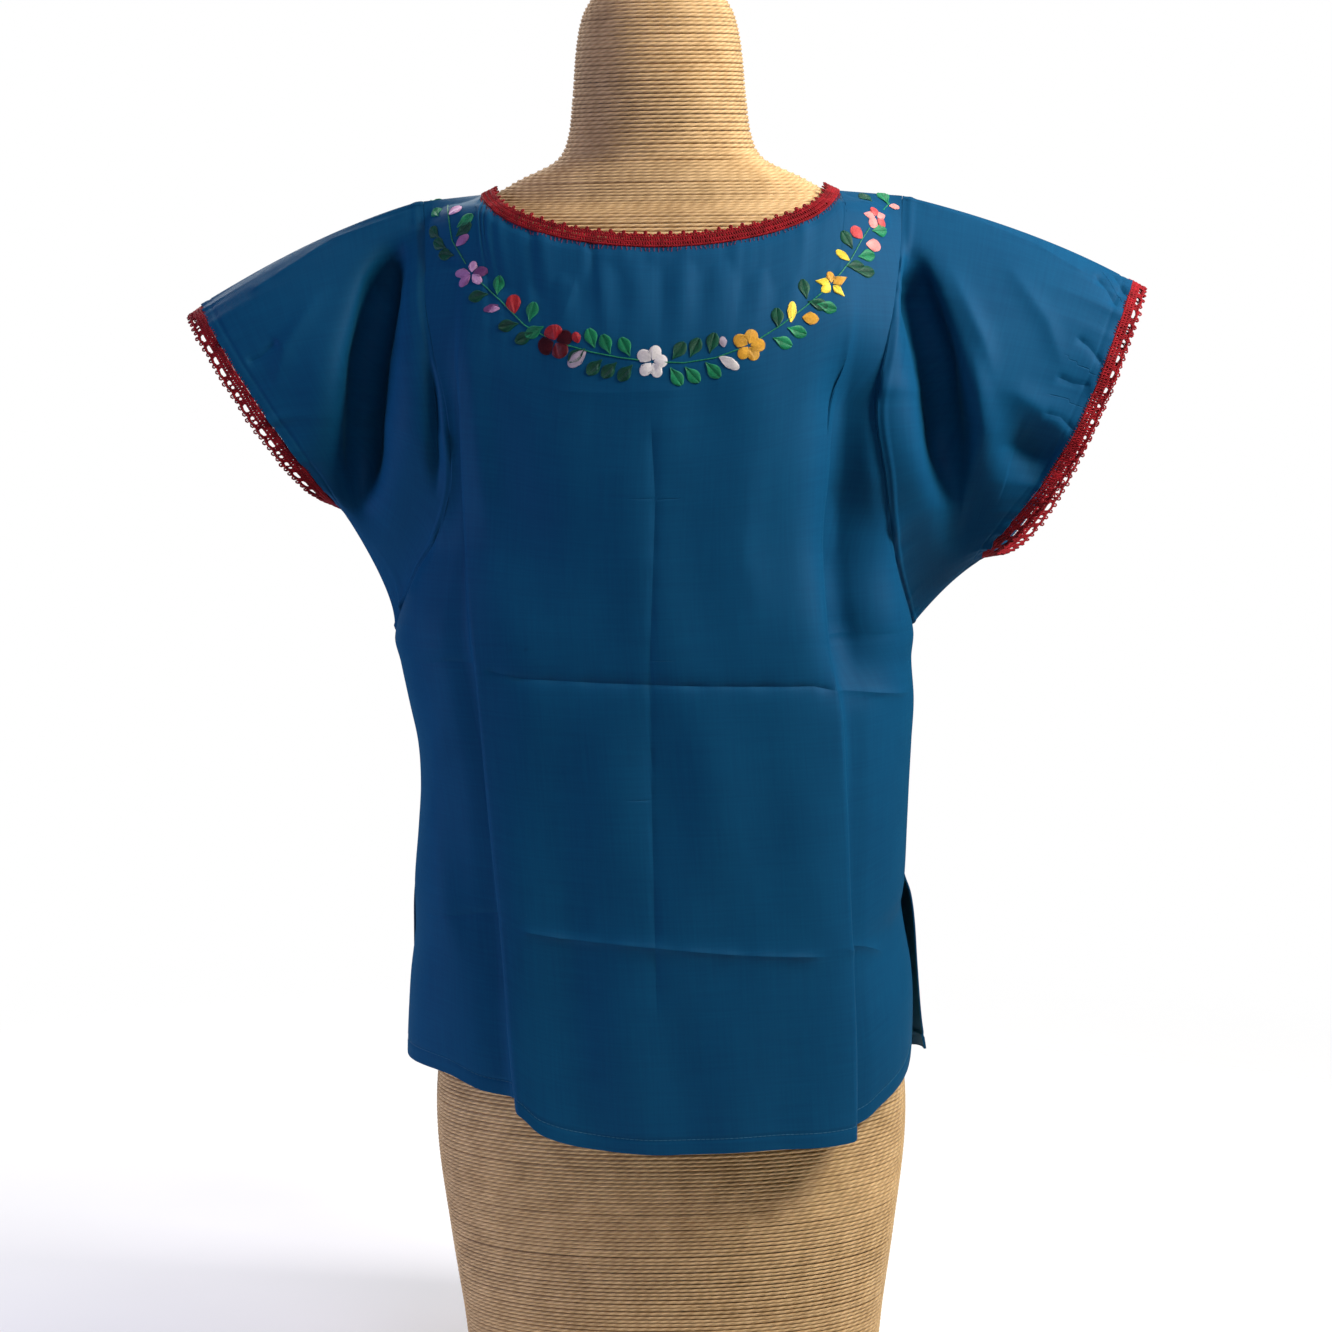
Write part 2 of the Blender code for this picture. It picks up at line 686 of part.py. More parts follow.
def make_cuff(name, face):
    """Half of a sleeve's crocheted edging: a solid base, a row of open meshes and scallops."""
    side = SLEEVES[name].side
    half = CUFF_REPEATS
    first = 0 if face == "back" else half
    reaches = [CUFF_GAP, CUFF_BASE, CUFF_BASE + CUFF_MESH, CUFF_BASE + CUFF_MESH + CUFF_EDGE]
    step = 1 / (2 * CUFF_REPEATS)
    points, shared = [], {}
    for k, reach in enumerate(reaches):
        for column in range(half + 1):
            turn = (first + column) * step
            edge = sleeve_point(name, 1.0, turn)
            tangent = (edge - sleeve_point(name, 0.93, turn)).normalized()
            w = ring_place(turn)[1]
            out = tangent.lerp(sleeve_axis(name), mix(0.42, 0.6, w)).normalized()
            scallop = CUFF_SCALLOP if k == 3 and column % 2 else 0.0
            around = sleeve_point(name, 1.0, turn + 1e-3) - sleeve_point(name, 1.0, turn - 1e-3)
            inset = 0.0
            if column == 0:
                inset = SEAM_GAP / 2
            elif column == half:
                inset = -SEAM_GAP / 2
            if column in (0, half):
                up = 1 if turn % 1 < 0.25 or turn % 1 > 0.75 else -1
                shared[len(points)] = Vector((-out.z * side * up, 0, out.x * side * up)).normalized()
            start = edge + out * CUFF_UNDER_GAP * (1 - w) ** 2
            points.append(start + out * (reach + scallop) + around.normalized() * inset)
    faces = []
    width = half + 1
    for k in range(3):
        for column in range(half):
            if k == 1 and column % 2 == 0:
                continue
            low = k * width + column
            faces.append((low, low + 1, low + width + 1, low + width))
    return make_wall(f"cuff_{name}_{face}", points, faces, LACE, "crochet", side < 0, shared)


def make_neck_trim():
    """The crocheted neck edging, lying on the form inside the neck edge."""
    back_count = GRIDS["back"].neck_columns
    front_count = GRIDS["front"].neck_columns
    back = [-1 + 2 * k / back_count for k in range(back_count + 1)]
    front = [1 - 2 * k / front_count for k in range(front_count + 1)]
    places = [("back", t) for t in back] + [("front", t) for t in front[1:-1]]
    edge = [neckline(face, t) for face, t in places]
    count = len(edge)
    gap = LACE / 2 + SEAT_GAP
    points = []
    for share in (0.0, 0.5, 1.0):
        for k in range(count):
            along = (edge[(k + 1) % count] - edge[k - 1]).normalized()
            place = edge[k]
            picot = 0.0011 if share == 1.0 and k % 2 else 0.0
            reach = mix(SEAM_GAP + CLOTH, NECK_TRIM_WIDTH, share) + picot
            for _ in range(4):
                out = form_distance(place)[1]
                inward = out.cross(along).normalized()
                if inward.dot(Vector((-place.x, -place.y, 0.12))) < 0:
                    inward = -inward
                place = seat(place + inward * (reach / 4), gap)
            points.append(place)
    faces = []
    for ring in range(2):
        for k in range(count):
            after = (k + 1) % count
            low = ring * count
            faces.append((low + k, low + after, low + count + after, low + count + k))
    return make_wall("neck_trim", points, faces, LACE, "crochet")


def make_form():
    """The limbless dress form: rounded rings, a flat base and a domed neck cap."""
    heights = [-0.05, -0.042, 0.0, 0.06, 0.12, 0.18, 0.25, 0.32, 0.38, 0.45, 0.53, 0.59, 0.64]
    heights += [0.685, 0.72] + [row.z for row in FORM if row.z > 0.73]
    points, faces = [], []
    for z in heights:
        for k in range(FORM_SIDES):
            angle = 2 * math.pi * k / FORM_SIDES
            power = 2 / FORM_SQUARENESS
            c, s = math.cos(angle), math.sin(angle)
            depth = read(FORM, "back" if s < 0 else "front", z)
            x = read(FORM, "half_width", z) * math.copysign(abs(c) ** power, c)
            points.append(Vector((x, depth * math.copysign(abs(s) ** power, s), z)))
    for ring in range(len(heights) - 1):
        for k in range(FORM_SIDES):
            after = (k + 1) % FORM_SIDES
            low = ring * FORM_SIDES
            faces.append(
                (low + k, low + after, low + FORM_SIDES + after, low + FORM_SIDES + k)
            )
    last = (len(heights) - 1) * FORM_SIDES
    faces.append(tuple(reversed(range(FORM_SIDES))))
    faces.append(tuple(range(last, last + FORM_SIDES)))
    return make_object("dress_form", points, faces, "twine")


def main():
    for item in list(bpy.data.objects):
        bpy.data.objects.remove(item)
    make_form()
    make_panel("back_panel", "back")
    make_panel("front_panel", "front")
    for name in SLEEVES:
        make_sleeve(name)
        make_cuff(name, "back")
        make_cuff(name, "front")
    make_neck_trim()


main()
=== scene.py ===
import math

import bpy
import numpy as np
from mathutils import Matrix, Vector
from mathutils.bvhtree import BVHTree


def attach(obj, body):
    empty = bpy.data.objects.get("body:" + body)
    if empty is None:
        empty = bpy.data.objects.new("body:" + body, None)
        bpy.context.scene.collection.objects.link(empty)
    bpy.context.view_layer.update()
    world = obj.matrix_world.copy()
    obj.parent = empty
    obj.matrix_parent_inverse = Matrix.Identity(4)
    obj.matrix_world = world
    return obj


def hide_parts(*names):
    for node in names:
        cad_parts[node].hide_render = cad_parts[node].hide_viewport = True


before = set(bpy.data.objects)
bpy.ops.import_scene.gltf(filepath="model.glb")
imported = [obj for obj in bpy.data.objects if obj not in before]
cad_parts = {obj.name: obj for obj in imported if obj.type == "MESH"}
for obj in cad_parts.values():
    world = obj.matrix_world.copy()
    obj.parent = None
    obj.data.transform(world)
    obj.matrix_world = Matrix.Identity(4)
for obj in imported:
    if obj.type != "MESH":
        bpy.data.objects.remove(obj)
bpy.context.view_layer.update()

print("blouse: frame loaded")

# Heights in the tables are counted from a level this far above the form's base
baseLevel = 0.050
shoulderZ = 0.7995
underarmZ = 0.495
slitTopZ = 0.318
slitOpen = 0.013
shoulderSeamY = -0.006
shoulderRound = 0.88
armholeDepth = {"back": 0.074, "front": 0.070}
backHemZ = 0.1416
frontHemZ = 0.1420
faceSign = {"back": -1, "front": 1}

neck = {
    "cornerX": 0.1250,
    "cornerZ": 0.8030,
    "lowest": {"back": 0.7655, "front": 0.7280},
    "curve": 1.15,
    "samples": 120,
    "cornerStep": 0.0005,
    "gathers": {"back": 12, "front": 9},
    "gatherHeight": 0.0022,
    "gathersFrom": 0.72,
    "gathersOver": 0.2,
}
# How square a panel's section is at the hips and at the armholes, and the shares of the way from the
# underarm to the shoulder where it has changed and where the long folds start to lean to the neck's ends
panelShape = {"lowPower": 2.6, "highPower": 2.4, "highFrom": 0.35, "neckFrom": 0.5}

seatGap = 0.0026  # from the form to the middle of the cloth at the neck
bodyGap = 0.0038  # and the least that it has anywhere else
seamGap = 0.0003
formSquareness = 2.2


def tableOf(names, rows, firstScale=1000):
    # Columns by name, from rows in millimetres; the first may have another scale
    columns = np.array(rows, float).T
    columns[0] /= firstScale
    columns[1:] /= 1000
    return dict(zip(names.split(), columns))


formTable = tableOf("z halfWidth back front", [
    (-50, 142, 85, 85),
    (-42, 147.5, 90, 90),
    (0, 153.5, 96, 93),
    (60, 162, 101, 95),
    (130, 170, 106, 97),
    (185, 168, 106, 98),
    (280, 150, 93, 93),
    (380, 122, 76, 86),
    (480, 131, 83, 100),
    (570, 140, 94, 119),
    (640, 148, 101, 112),
    (700, 157, 98, 100),
    (740, 164, 86, 87),
    (765, 165.5, 76, 78),
    (781, 163, 68, 72),
    (789, 156, 64, 69),
    (794, 145, 61, 67),
    (797.5, 134, 59, 66),
    (801.5, 124, 58, 65.5),
    (806.5, 113.5, 57, 65),
    (814, 100, 56, 64.3),
    (826.5, 74.5, 54, 63),
    (840.7, 65.5, 53.3, 62.5),
    (868.5, 61.4, 52.8, 62),
    (900, 58.7, 51.8, 60.7),
    (920, 55.5, 49.2, 57.8),
    (933, 50.7, 45, 53),
    (943, 42, 37.5, 44),
    (950, 27, 24, 28.5),
    (952, 13, 11.5, 14),
])

# Side edges of the two panels: the armhole, the side seam, then the slit
edgeTable = tableOf("z backLeft backRight frontLeft frontRight", [
    (150, 189.3, 169, 187, 190),
    (180, 189.3, 171.6, 186.5, 186.6),
    (205, 189.1, 174.2, 186, 183),
    (246, 186.8, 174.3, 185, 179.7),
    (280, 182.6, 169, 184.3, 177.5),
    (300, 182.2, 166.8, 183.8, 174.8),
    (318, 182.2, 169.6, 182.2, 169.6),
    (356, 178.6, 171.8, 178.6, 171.8),
    (386, 176.7, 173.3, 176.7, 173.3),
    (416, 178.1, 174.9, 178.1, 174.9),
    (445, 183.8, 176.2, 183.8, 176.2),
    (474, 189.4, 174.4, 189.4, 174.4),
    (495, 192.8, 175.7, 192.8, 175.7),
    (540, 175, 163.5, 175, 163.5),
    (565, 160, 159, 160, 159),
    (604, 147.8, 154.5, 147.8, 154.5),
    (654, 148.8, 147.8, 148.8, 147.8),
    (700, 158.5, 156, 158.5, 156),
    (732, 164, 162, 164, 162),
    (763, 164.2, 166.8, 164.2, 166.8),
    (799.5, 166.5, 170, 166.5, 170),
])

# The long folds: distance from the middle, how far they stand out, how far the cloth beyond drops
foldTables = {
    "back": tableOf("z left right leftRise leftDrop rightRise rightDrop", [
        (142, 99, 128.8, 7, 19, 5, 14),
        (168, 100.9, 128, 7, 19, 5, 14),
        (205, 104.5, 126.6, 7, 18, 5, 13),
        (309, 113.1, 124.1, 6, 16, 5, 12),
        (387, 120.6, 121.5, 5, 14, 4, 11),
        (479, 129.9, 116.5, 4, 11, 4, 10),
        (530, 134, 115, 3, 8, 3, 7),
        (604, 136.5, 119, 2, 4, 2, 4),
        (700, 137, 129, 1, 1, 1, 1),
        (803, 125, 125, 0, 0, 0, 0),
    ]),
    "front": tableOf("z left right leftRise leftDrop rightRise rightDrop", [
        (150, 112, 106, 5, 13, 5, 14),
        (304, 116, 112, 5, 11, 5, 12),
        (497, 122, 120, 3, 7, 3, 7),
        (604, 129, 129, 1, 2, 1, 2),
        (803, 125, 125, 0, 0, 0, 0),
    ]),
}

# How far the middle of each panel stands from the form's axis
profileTable = tableOf("z back front", [
    (150, 125, 130),
    (300, 121.5, 129),
    (450, 116.5, 127),
    (570, 111, 125),
    (640, 108, 119),
    (700, 104, 106),
    (740, 91, 91),
    (764, 79, 82),
    (790, 66, 72),
    (813, 58, 66),
])

# How far each hem rises across the panel, whose bands run -2 to 2 with the folds at -1 and 1
hemTable = tableOf("band back front", [
    (-2.00, 51.7, 44),
    (-1.54, 47.3, 28),
    (-1.28, 36.1, 15),
    (-1.04, 30.3, 9),
    (-0.98, 26.2, 7.5),
    (-0.87, 14.5, 5),
    (-0.61, 4.8, 2),
    (-0.20, 0, 0),
    (0.50, 1, 1),
    (0.97, 2.2, 7),
    (1.06, 6.2, 9.5),
    (1.23, 8, 14),
    (1.42, 18.4, 21),
    (1.77, 36.8, 34),
    (2.00, 56, 40),
], firstScale=1)

sleeves = {
    "left": {
        "side": -1, "topX": 0.3240, "topZ": 0.7280, "bottomX": 0.2265, "bottomZ": 0.5835,
        "back": 0.056, "front": 0.058, "backBow": 0.002, "frontBow": 0.008, "lean": -0.05,
        "hollow": tableOf("z x halfWidth depth", [
            (560, 210, 12, 0),
            (600, 211, 16, 12),
            (640, 208, 19, 28),
            (685, 203, 18, 30),
            (735, 196, 14, 16),
            (775, 188, 10, 0),
        ]),
    },
    "right": {
        "side": 1, "topX": 0.3310, "topZ": 0.7385, "bottomX": 0.2215, "bottomZ": 0.5440,
        "back": 0.054, "front": 0.058, "backBow": 0.011, "frontBow": 0.027, "lean": 0.45,
        "hollow": tableOf("z x halfWidth depth", [
            (540, 208, 12, 0),
            (585, 207, 16, 12),
            (640, 196, 18, 26),
            (690, 185, 15, 26),
            (730, 178, 12, 14),
            (765, 172, 10, 0),
        ]),
    },
}

sleeveShape = {
    "startHandle": (0.028, 0.056), "endShare": 0.2, "endHandle": 0.055, "frontHollow": 0.6,
    "waves": 14, "waveHeight": 0.0016, "wavesFrom": 0.75,
}


def smooth(value):
    t = np.clip(value, 0.0, 1.0)
    return t * t * (3 - 2 * t)


def mix(a, b, share):
    return a + (b - a) * share


def unit(vectors):
    return vectors / np.maximum(np.linalg.norm(vectors, axis=-1, keepdims=True), 1e-12)


def vectorOf(x, y, z):
    return np.stack(np.broadcast_arrays(*(np.asarray(v, float) for v in (x, y, z))), -1)


def runOf(points):
    # The way along a line of points to each of them
    return np.r_[0, np.cumsum(np.linalg.norm(np.diff(points, axis=0), axis=1))]


def pointAlong(at, lengths, points):
    return np.stack([np.interp(at, lengths, column) for column in points.T], -1)


def readTable(table, column, at):
    # A smooth curve through the table's rows, flat beyond its ends
    places = next(iter(table.values()))
    values = table[column]
    last = len(places) - 1
    index = np.arange(last + 1)
    before, after = np.maximum(index - 1, 0), np.minimum(index + 1, last)
    slopes = (values[after] - values[before]) / (places[after] - places[before])
    at = np.clip(at, places[0], places[-1])
    k = np.clip(np.searchsorted(places, at, side="left") - 1, 0, last - 1)
    span = places[k + 1] - places[k]
    t = (at - places[k]) / span
    return (
        (2 * t**3 - 3 * t**2 + 1) * values[k]
        + (t**3 - 2 * t**2 + t) * span * slopes[k]
        + (3 * t**2 - 2 * t**3) * values[k + 1]
        + (t**3 - t**2) * span * slopes[k + 1]
    )


def formLevel(p):
    depth = np.where(
        p[..., 1] < 0, readTable(formTable, "back", p[..., 2]), readTable(formTable, "front", p[..., 2])
    )
    width = readTable(formTable, "halfWidth", p[..., 2])
    n = formSquareness
    return ((abs(p[..., 0]) / width) ** n + (abs(p[..., 1]) / depth) ** n) ** (1 / n) - 1


def formDistance(p):
    step = 1e-4
    slope = np.stack(
        [(formLevel(p + axis * step) - formLevel(p - axis * step)) / (2 * step) for axis in np.eye(3)], -1
    )
    size = np.linalg.norm(slope, axis=-1, keepdims=True)
    return formLevel(p) / size[..., 0], slope / size


def seat(p, gap):
    for _ in range(8):
        distance, out = formDistance(p)
        p = p + out * (gap - distance)[..., None]
    return p


def clearOfForm(p, gap):
    near = formDistance(p)[0] < gap
    return np.where(near[..., None], seat(p, gap), p)


# A panel's point is told by its band, across, and by upTo, which runs 0 to 1 from the hem to the
# underarm and 1 to 2 up to the shoulder


def sideOf(band):
    return np.where(band < 0, -1, 1)


def beyondFold(band):
    # 0 at a long fold to 1 at the side edge
    return np.clip(abs(band) - 1, 0, 1)


def aboveArm(upTo):
    return np.clip(upTo - 1, 0, 1)


def heightOf(face, band, upTo, topZ):
    hemZ = (backHemZ if face == "back" else frontHemZ) + readTable(hemTable, face, band)
    below = mix(hemZ, underarmZ, np.minimum(upTo, 1))
    return np.where(upTo >= 1, mix(underarmZ, topZ, aboveArm(upTo)), below)


def panelEdge(face, side, upTo):
    sign = faceSign[face]
    w = aboveArm(upTo)
    z = heightOf(face, 2 * side, upTo, shoulderZ)
    slit = slitOpen * smooth((slitTopZ - z) / (slitTopZ - backHemZ))
    armhole = armholeDepth[face] * np.sin(np.pi * w)
    y = np.where(upTo >= 1, sign * armhole + shoulderSeamY * w**4, sign * slit)
    x = np.where(side < 0, readTable(edgeTable, face + "Left", z), readTable(edgeTable, face + "Right", z))
    return vectorOf(side * x, y, z)


def makeNeckHalf(face):
    k = np.arange(neck["samples"])
    angle = math.pi / 2 * (1 - (1 - k / neck["samples"]) ** 2.5)
    x = neck["cornerX"] * np.sin(angle)
    z = mix(neck["cornerZ"], neck["lowest"][face], np.cos(angle) ** neck["curve"])
    share = np.maximum(0, 1 - (x / readTable(formTable, "halfWidth", z)) ** formSquareness)
    sign = faceSign[face]
    y = sign * readTable(formTable, face, z) * share ** (1 / formSquareness)
    points = seat(vectorOf(x, y, z), seatGap)
    points = points[points[:, 1] * sign > shoulderSeamY * sign + neck["cornerStep"]]
    corner = seat(np.array([neck["cornerX"], shoulderSeamY, neck["cornerZ"]]), seatGap)
    points = np.vstack([points, corner])
    lengths = runOf(points)
    return points, lengths / lengths[-1]


neckHalves = {face: makeNeckHalf(face) for face in faceSign}


def neckline(face, t):
    points, lengths = neckHalves[face]
    point = pointAlong(abs(t), lengths, points)
    return vectorOf(np.copysign(point[..., 0], t), point[..., 1], point[..., 2])


def shoulderSeam(side, share):
    start = neckline("back", side * 1.0)
    end = panelEdge("back", side, np.full(np.shape(side), 2.0))
    return clearOfForm(start + (end - start) * np.asarray(share)[..., None], seatGap)


def panelTop(face, band):
    onNeck = neckline(face, np.clip(band, -1, 1))
    onSeam = shoulderSeam(sideOf(band), beyondFold(band))
    return np.where((abs(band) <= 1)[..., None], onNeck, onSeam)


# In bands: how far a fold swells before its line, how soon it falls beyond it and how slowly that ends
foldReach = {"inside": 0.45, "lip": 0.2, "beyond": 0.8}


def foldOffset(face, band, z):
    total = 0.0
    for side, name in ((-1, "left"), (1, "right")):
        rise = readTable(foldTables[face], name + "Rise", z)
        drop = readTable(foldTables[face], name + "Drop", z)
        past = band * side - 1
        inside = rise * (1 - smooth(-past / foldReach["inside"]))
        outside = (rise + drop) * (1 - smooth(past / foldReach["lip"]))
        outside -= drop * (1 - smooth((past - foldReach["lip"]) / foldReach["beyond"]))
        total = total + np.where(past <= 0, inside, outside)
    return total


def hangingPoint(face, band, upTo):
    # A point of a panel's hanging cloth, before it turns over the shoulder
    side = sideOf(band)
    edge = panelEdge(face, side, upTo)
    w = aboveArm(upTo)
    inBand = np.clip(band, -1, 1)
    neckPoint = neckline(face, inBand)
    z = heightOf(face, band, upTo, panelTop(face, band)[..., 2])
    lineLeft = -readTable(foldTables[face], "left", edge[..., 2])
    lineRight = readTable(foldTables[face], "right", edge[..., 2])
    middleX = mix(lineLeft, lineRight, (inBand + 1) / 2)
    leaning = smooth((w - panelShape["neckFrom"]) / (1 - panelShape["neckFrom"]))
    middleX = mix(middleX, neckPoint[..., 0], leaning)
    line = np.where(side < 0, lineLeft, lineRight)
    outerX = mix(line, edge[..., 0], np.sin(beyondFold(band) * math.pi / 2))
    x = np.where(abs(band) <= 1, middleX, outerX)
    reach = np.minimum(1.0, abs(x / edge[..., 0]))
    low, high = panelShape["lowPower"], panelShape["highPower"]
    share = mix((1 - reach**low) ** (1 / low), 1 - reach**high, smooth(w / panelShape["highFrom"]))
    middle = faceSign[face] * readTable(profileTable, face, z)
    y = mix(edge[..., 1], middle, share)
    out = unit(vectorOf(x / edge[..., 0] ** 2, y / middle**2, 0 * x))
    offset = foldOffset(face, band, z)
    wave = 0.5 - 0.5 * np.cos(math.pi * neck["gathers"][face] * (band + 1))
    rising = smooth((w - neck["gathersFrom"]) / neck["gathersOver"])
    offset = offset + neck["gatherHeight"] * wave * rising * (1 - inBand**4)
    return vectorOf(x, y, z) + out * offset[..., None]


def panelPoint(face, band, upTo):
    # The last stretch bends over in a quarter round to meet the top edge
    w = aboveArm(upTo)
    bend = np.clip((w - shoulderRound) / (1 - shoulderRound), 0, 1)
    point = hangingPoint(face, band, upTo)
    pull = panelTop(face, band) - hangingPoint(face, band, np.full(np.shape(upTo), 2.0))
    point = point + pull * (1 - np.sqrt(1 - bend**2))[..., None]
    gap = mix(bodyGap, seatGap, smooth((w - 0.97) / 0.03))
    point = clearOfForm(point, gap)
    atSide = (abs(band) >= 2)[..., None]
    return np.where(atSide, panelEdge(face, sideOf(band), upTo), point)


def ringPlace(turn):
    return turn % 1 <= 0.5, 0.5 + 0.5 * np.cos(2 * math.pi * turn)


def sleeveAxis(name):
    s = sleeves[name]
    chord = np.array([s["side"] * (s["bottomX"] - s["topX"]), 0, s["bottomZ"] - s["topZ"]])
    return unit(np.array([-chord[2], 0, chord[0]]) * s["side"])


def sleeveOpening(name, turn):
    s = sleeves[name]
    isBack, w = ringPlace(turn)
    top = np.array([s["side"] * s["topX"], 0, s["topZ"]])
    bottom = np.array([s["side"] * s["bottomX"], 0, s["bottomZ"]])
    swell = abs(np.sin(2 * math.pi * turn))
    depth = np.where(isBack, -s["back"], s["front"])
    backBow = s["backBow"] * swell**3 * (1.25 - 0.5 * w)
    frontBow = s["frontBow"] * swell * (1.35 - 0.7 * w)
    bow = np.where(isBack, backBow, frontBow)
    point = bottom + (top - bottom) * w[..., None] + sleeveAxis(name) * bow[..., None]
    return point + vectorOf(0 * w, depth * swell**0.85, 0 * w)


def sleeveBody(name, along, turn):
    s = sleeves[name]
    side = s["side"]
    isBack, w = ringPlace(turn)
    sides = np.full(np.shape(w), side)
    start = np.where(isBack[..., None], panelEdge("back", sides, 1 + w), panelEdge("front", sides, 1 + w))
    end = sleeveOpening(name, turn)
    under = unit(np.array([side * s["lean"], 0, 1 - s["lean"]]))
    level = np.array([side, 0, -0.25])
    leave = unit(under + (level - under) * smooth(w * 1.3)[..., None])
    start = start + leave * seamGap
    # A curve with a handle at the armhole and one at the cuff, from w 0 below to 1 on top
    first = start + leave * mix(*sleeveShape["startHandle"], w)[..., None]
    second = end + (start - end) * (sleeveShape["endShare"] * (1 - w))[..., None]
    second = second - sleeveAxis(name) * (sleeveShape["endHandle"] * w)[..., None]
    b = np.asarray(along)[..., None]
    a = 1 - b
    point = start * a**3 + first * 3 * a * a * b + second * 3 * a * b * b + end * b**3
    hollow = s["hollow"]
    depth = readTable(hollow, "depth", point[..., 2])
    away = (abs(point[..., 0]) - readTable(hollow, "x", point[..., 2])) / readTable(
        hollow, "halfWidth", point[..., 2]
    )
    sign = np.where(isBack, -1, 1)
    swell = np.sin(2 * math.pi * turn) ** 2
    settle = smooth(along / 0.12) * smooth((1 - along) / 0.25)
    strength = np.where(isBack, 1.0, sleeveShape["frontHollow"])
    point[..., 1] -= sign * depth * strength * np.exp(-away * away) * settle * smooth(swell * 2)
    wave = 0.5 - 0.5 * np.cos(2 * math.pi * sleeveShape["waves"] * turn)
    outward = vectorOf(side * 0.2, sign, 0) * (wave * sleeveShape["waveHeight"] * swell)[..., None]
    nearCuff = smooth((along - sleeveShape["wavesFrom"]) / (1 - sleeveShape["wavesFrom"]))
    return point + outward * nearCuff[..., None]


# Materials


def feed(tree, value, socket):
    if isinstance(value, bpy.types.NodeSocket):
        tree.links.new(value, socket)
    else:
        socket.default_value = value


def calc(tree, operation, *values):
    node = tree.nodes.new("ShaderNodeMath")
    node.operation = operation
    for value, socket in zip(values, node.inputs):
        feed(tree, value, socket)
    return node.outputs[0]


def noiseOf(tree, vector, scale):
    node = tree.nodes.new("ShaderNodeTexNoise")
    feed(tree, vector, node.inputs["Vector"])
    feed(tree, scale, node.inputs["Scale"])
    return node.outputs["Fac"]


def combined(tree, x, y, z=0.0):
    node = tree.nodes.new("ShaderNodeCombineXYZ")
    for value, socket in zip((x, y, z), node.inputs):
        feed(tree, value, socket)
    return node.outputs[0]


def separated(tree, vector):
    node = tree.nodes.new("ShaderNodeSeparateXYZ")
    tree.links.new(vector, node.inputs[0])
    return node.outputs


def attributeOf(tree, name):
    node = tree.nodes.new("ShaderNodeAttribute")
    node.attribute_name = name
    return node.outputs


def newGroup(name, inputs, outputs):
    tree = bpy.data.node_groups.new(name, "ShaderNodeTree")
    for label, value in inputs.items():
        tree.interface.new_socket(label, in_out="INPUT", socket_type="NodeSocketFloat").default_value = value
    for label in outputs:
        tree.interface.new_socket(label, in_out="OUTPUT", socket_type="NodeSocketFloat")
    return tree, tree.nodes.new("NodeGroupInput").outputs, tree.nodes.new("NodeGroupOutput").inputs


def buildWeave():
    # Threads over and under each other along the UV map, which is in metres
    tree, given, made = newGroup("plainWeave", {"Thread pitch": 0.0005}, ["Height", "Tone"])
    u, v, _ = separated(tree, tree.nodes.new("ShaderNodeUVMap").outputs[0])
    u = calc(tree, "DIVIDE", u, given["Thread pitch"])
    v = calc(tree, "DIVIDE", v, given["Thread pitch"])
    across = calc(tree, "SINE", calc(tree, "MULTIPLY", u, 2 * math.pi))
    up = calc(tree, "SINE", calc(tree, "MULTIPLY", v, 2 * math.pi))
    checks = calc(tree, "MULTIPLY", across, up)
    tree.links.new(calc(tree, "MULTIPLY_ADD", checks, 0.5, 0.5), made["Height"])
    # Slubs: some threads are thicker or darker for a stretch
    slubs = []
    for acrossScale, upScale, shift in ((0.30, 0.010, 0.0), (0.010, 0.30, 7.0)):
        stretched = [calc(tree, "MULTIPLY", u, acrossScale), calc(tree, "MULTIPLY", v, upScale)]
        slubs.append(noiseOf(tree, combined(tree, *stretched, shift), 1.0))
    tree.links.new(calc(tree, "MULTIPLY", calc(tree, "ADD", *slubs), 0.5), made["Tone"])
    return tree


def buildTwist():
    # Plies wound round a yarn, from the two attributes that its sweep leaves
    tree, given, made = newGroup("pliedTwist", {"Twist length": 0.003, "Plies": 2.0}, ["Height"])
    x, y, _ = separated(tree, attributeOf(tree, "yarnRing")["Vector"])
    angle = calc(tree, "MULTIPLY", calc(tree, "ARCTAN2", y, x), given["Plies"])
    turns = calc(tree, "DIVIDE", attributeOf(tree, "yarnAlong")["Fac"], given["Twist length"])
    wave = calc(tree, "SINE", calc(tree, "MULTIPLY_ADD", turns, 2 * math.pi, angle))
    tree.links.new(calc(tree, "MULTIPLY_ADD", wave, 0.5, 0.5), made["Height"])
    return tree


def buildUneven():
    # Soft patches in the object's own space
    tree, given, made = newGroup("unevenTone", {"Patches a metre": 12.0}, ["Tone"])
    place = tree.nodes.new("ShaderNodeTexCoord").outputs["Object"]
    tree.links.new(noiseOf(tree, place, given["Patches a metre"]), made["Tone"])
    return tree


weaveTree, twistTree, unevenTree = buildWeave(), buildTwist(), buildUneven()


def useGroup(tree, group, values):
    node = tree.nodes.new("ShaderNodeGroup")
    node.node_tree = group
    for name, value in values.items():
        node.inputs[name].default_value = value
    return node.outputs


def patchesOf(tree, scale):
    return useGroup(tree, unevenTree, {"Patches a metre": scale})["Tone"]


def newMaterial(name, look):
    material = bpy.data.materials.new(name)
    material.use_nodes = True
    shader = material.node_tree.nodes["Principled BSDF"]
    shader.inputs["Roughness"].default_value = look["roughness"]
    shader.inputs["Specular IOR Level"].default_value = look.get("specular", 0.3)
    shader.inputs["Sheen Weight"].default_value = look.get("sheen", 0.0)
    shader.inputs["Sheen Roughness"].default_value = 0.4
    shader.inputs["Sheen Tint"].default_value = (*look.get("sheenTint", (1, 1, 1)), 1)
    return material, material.node_tree, shader


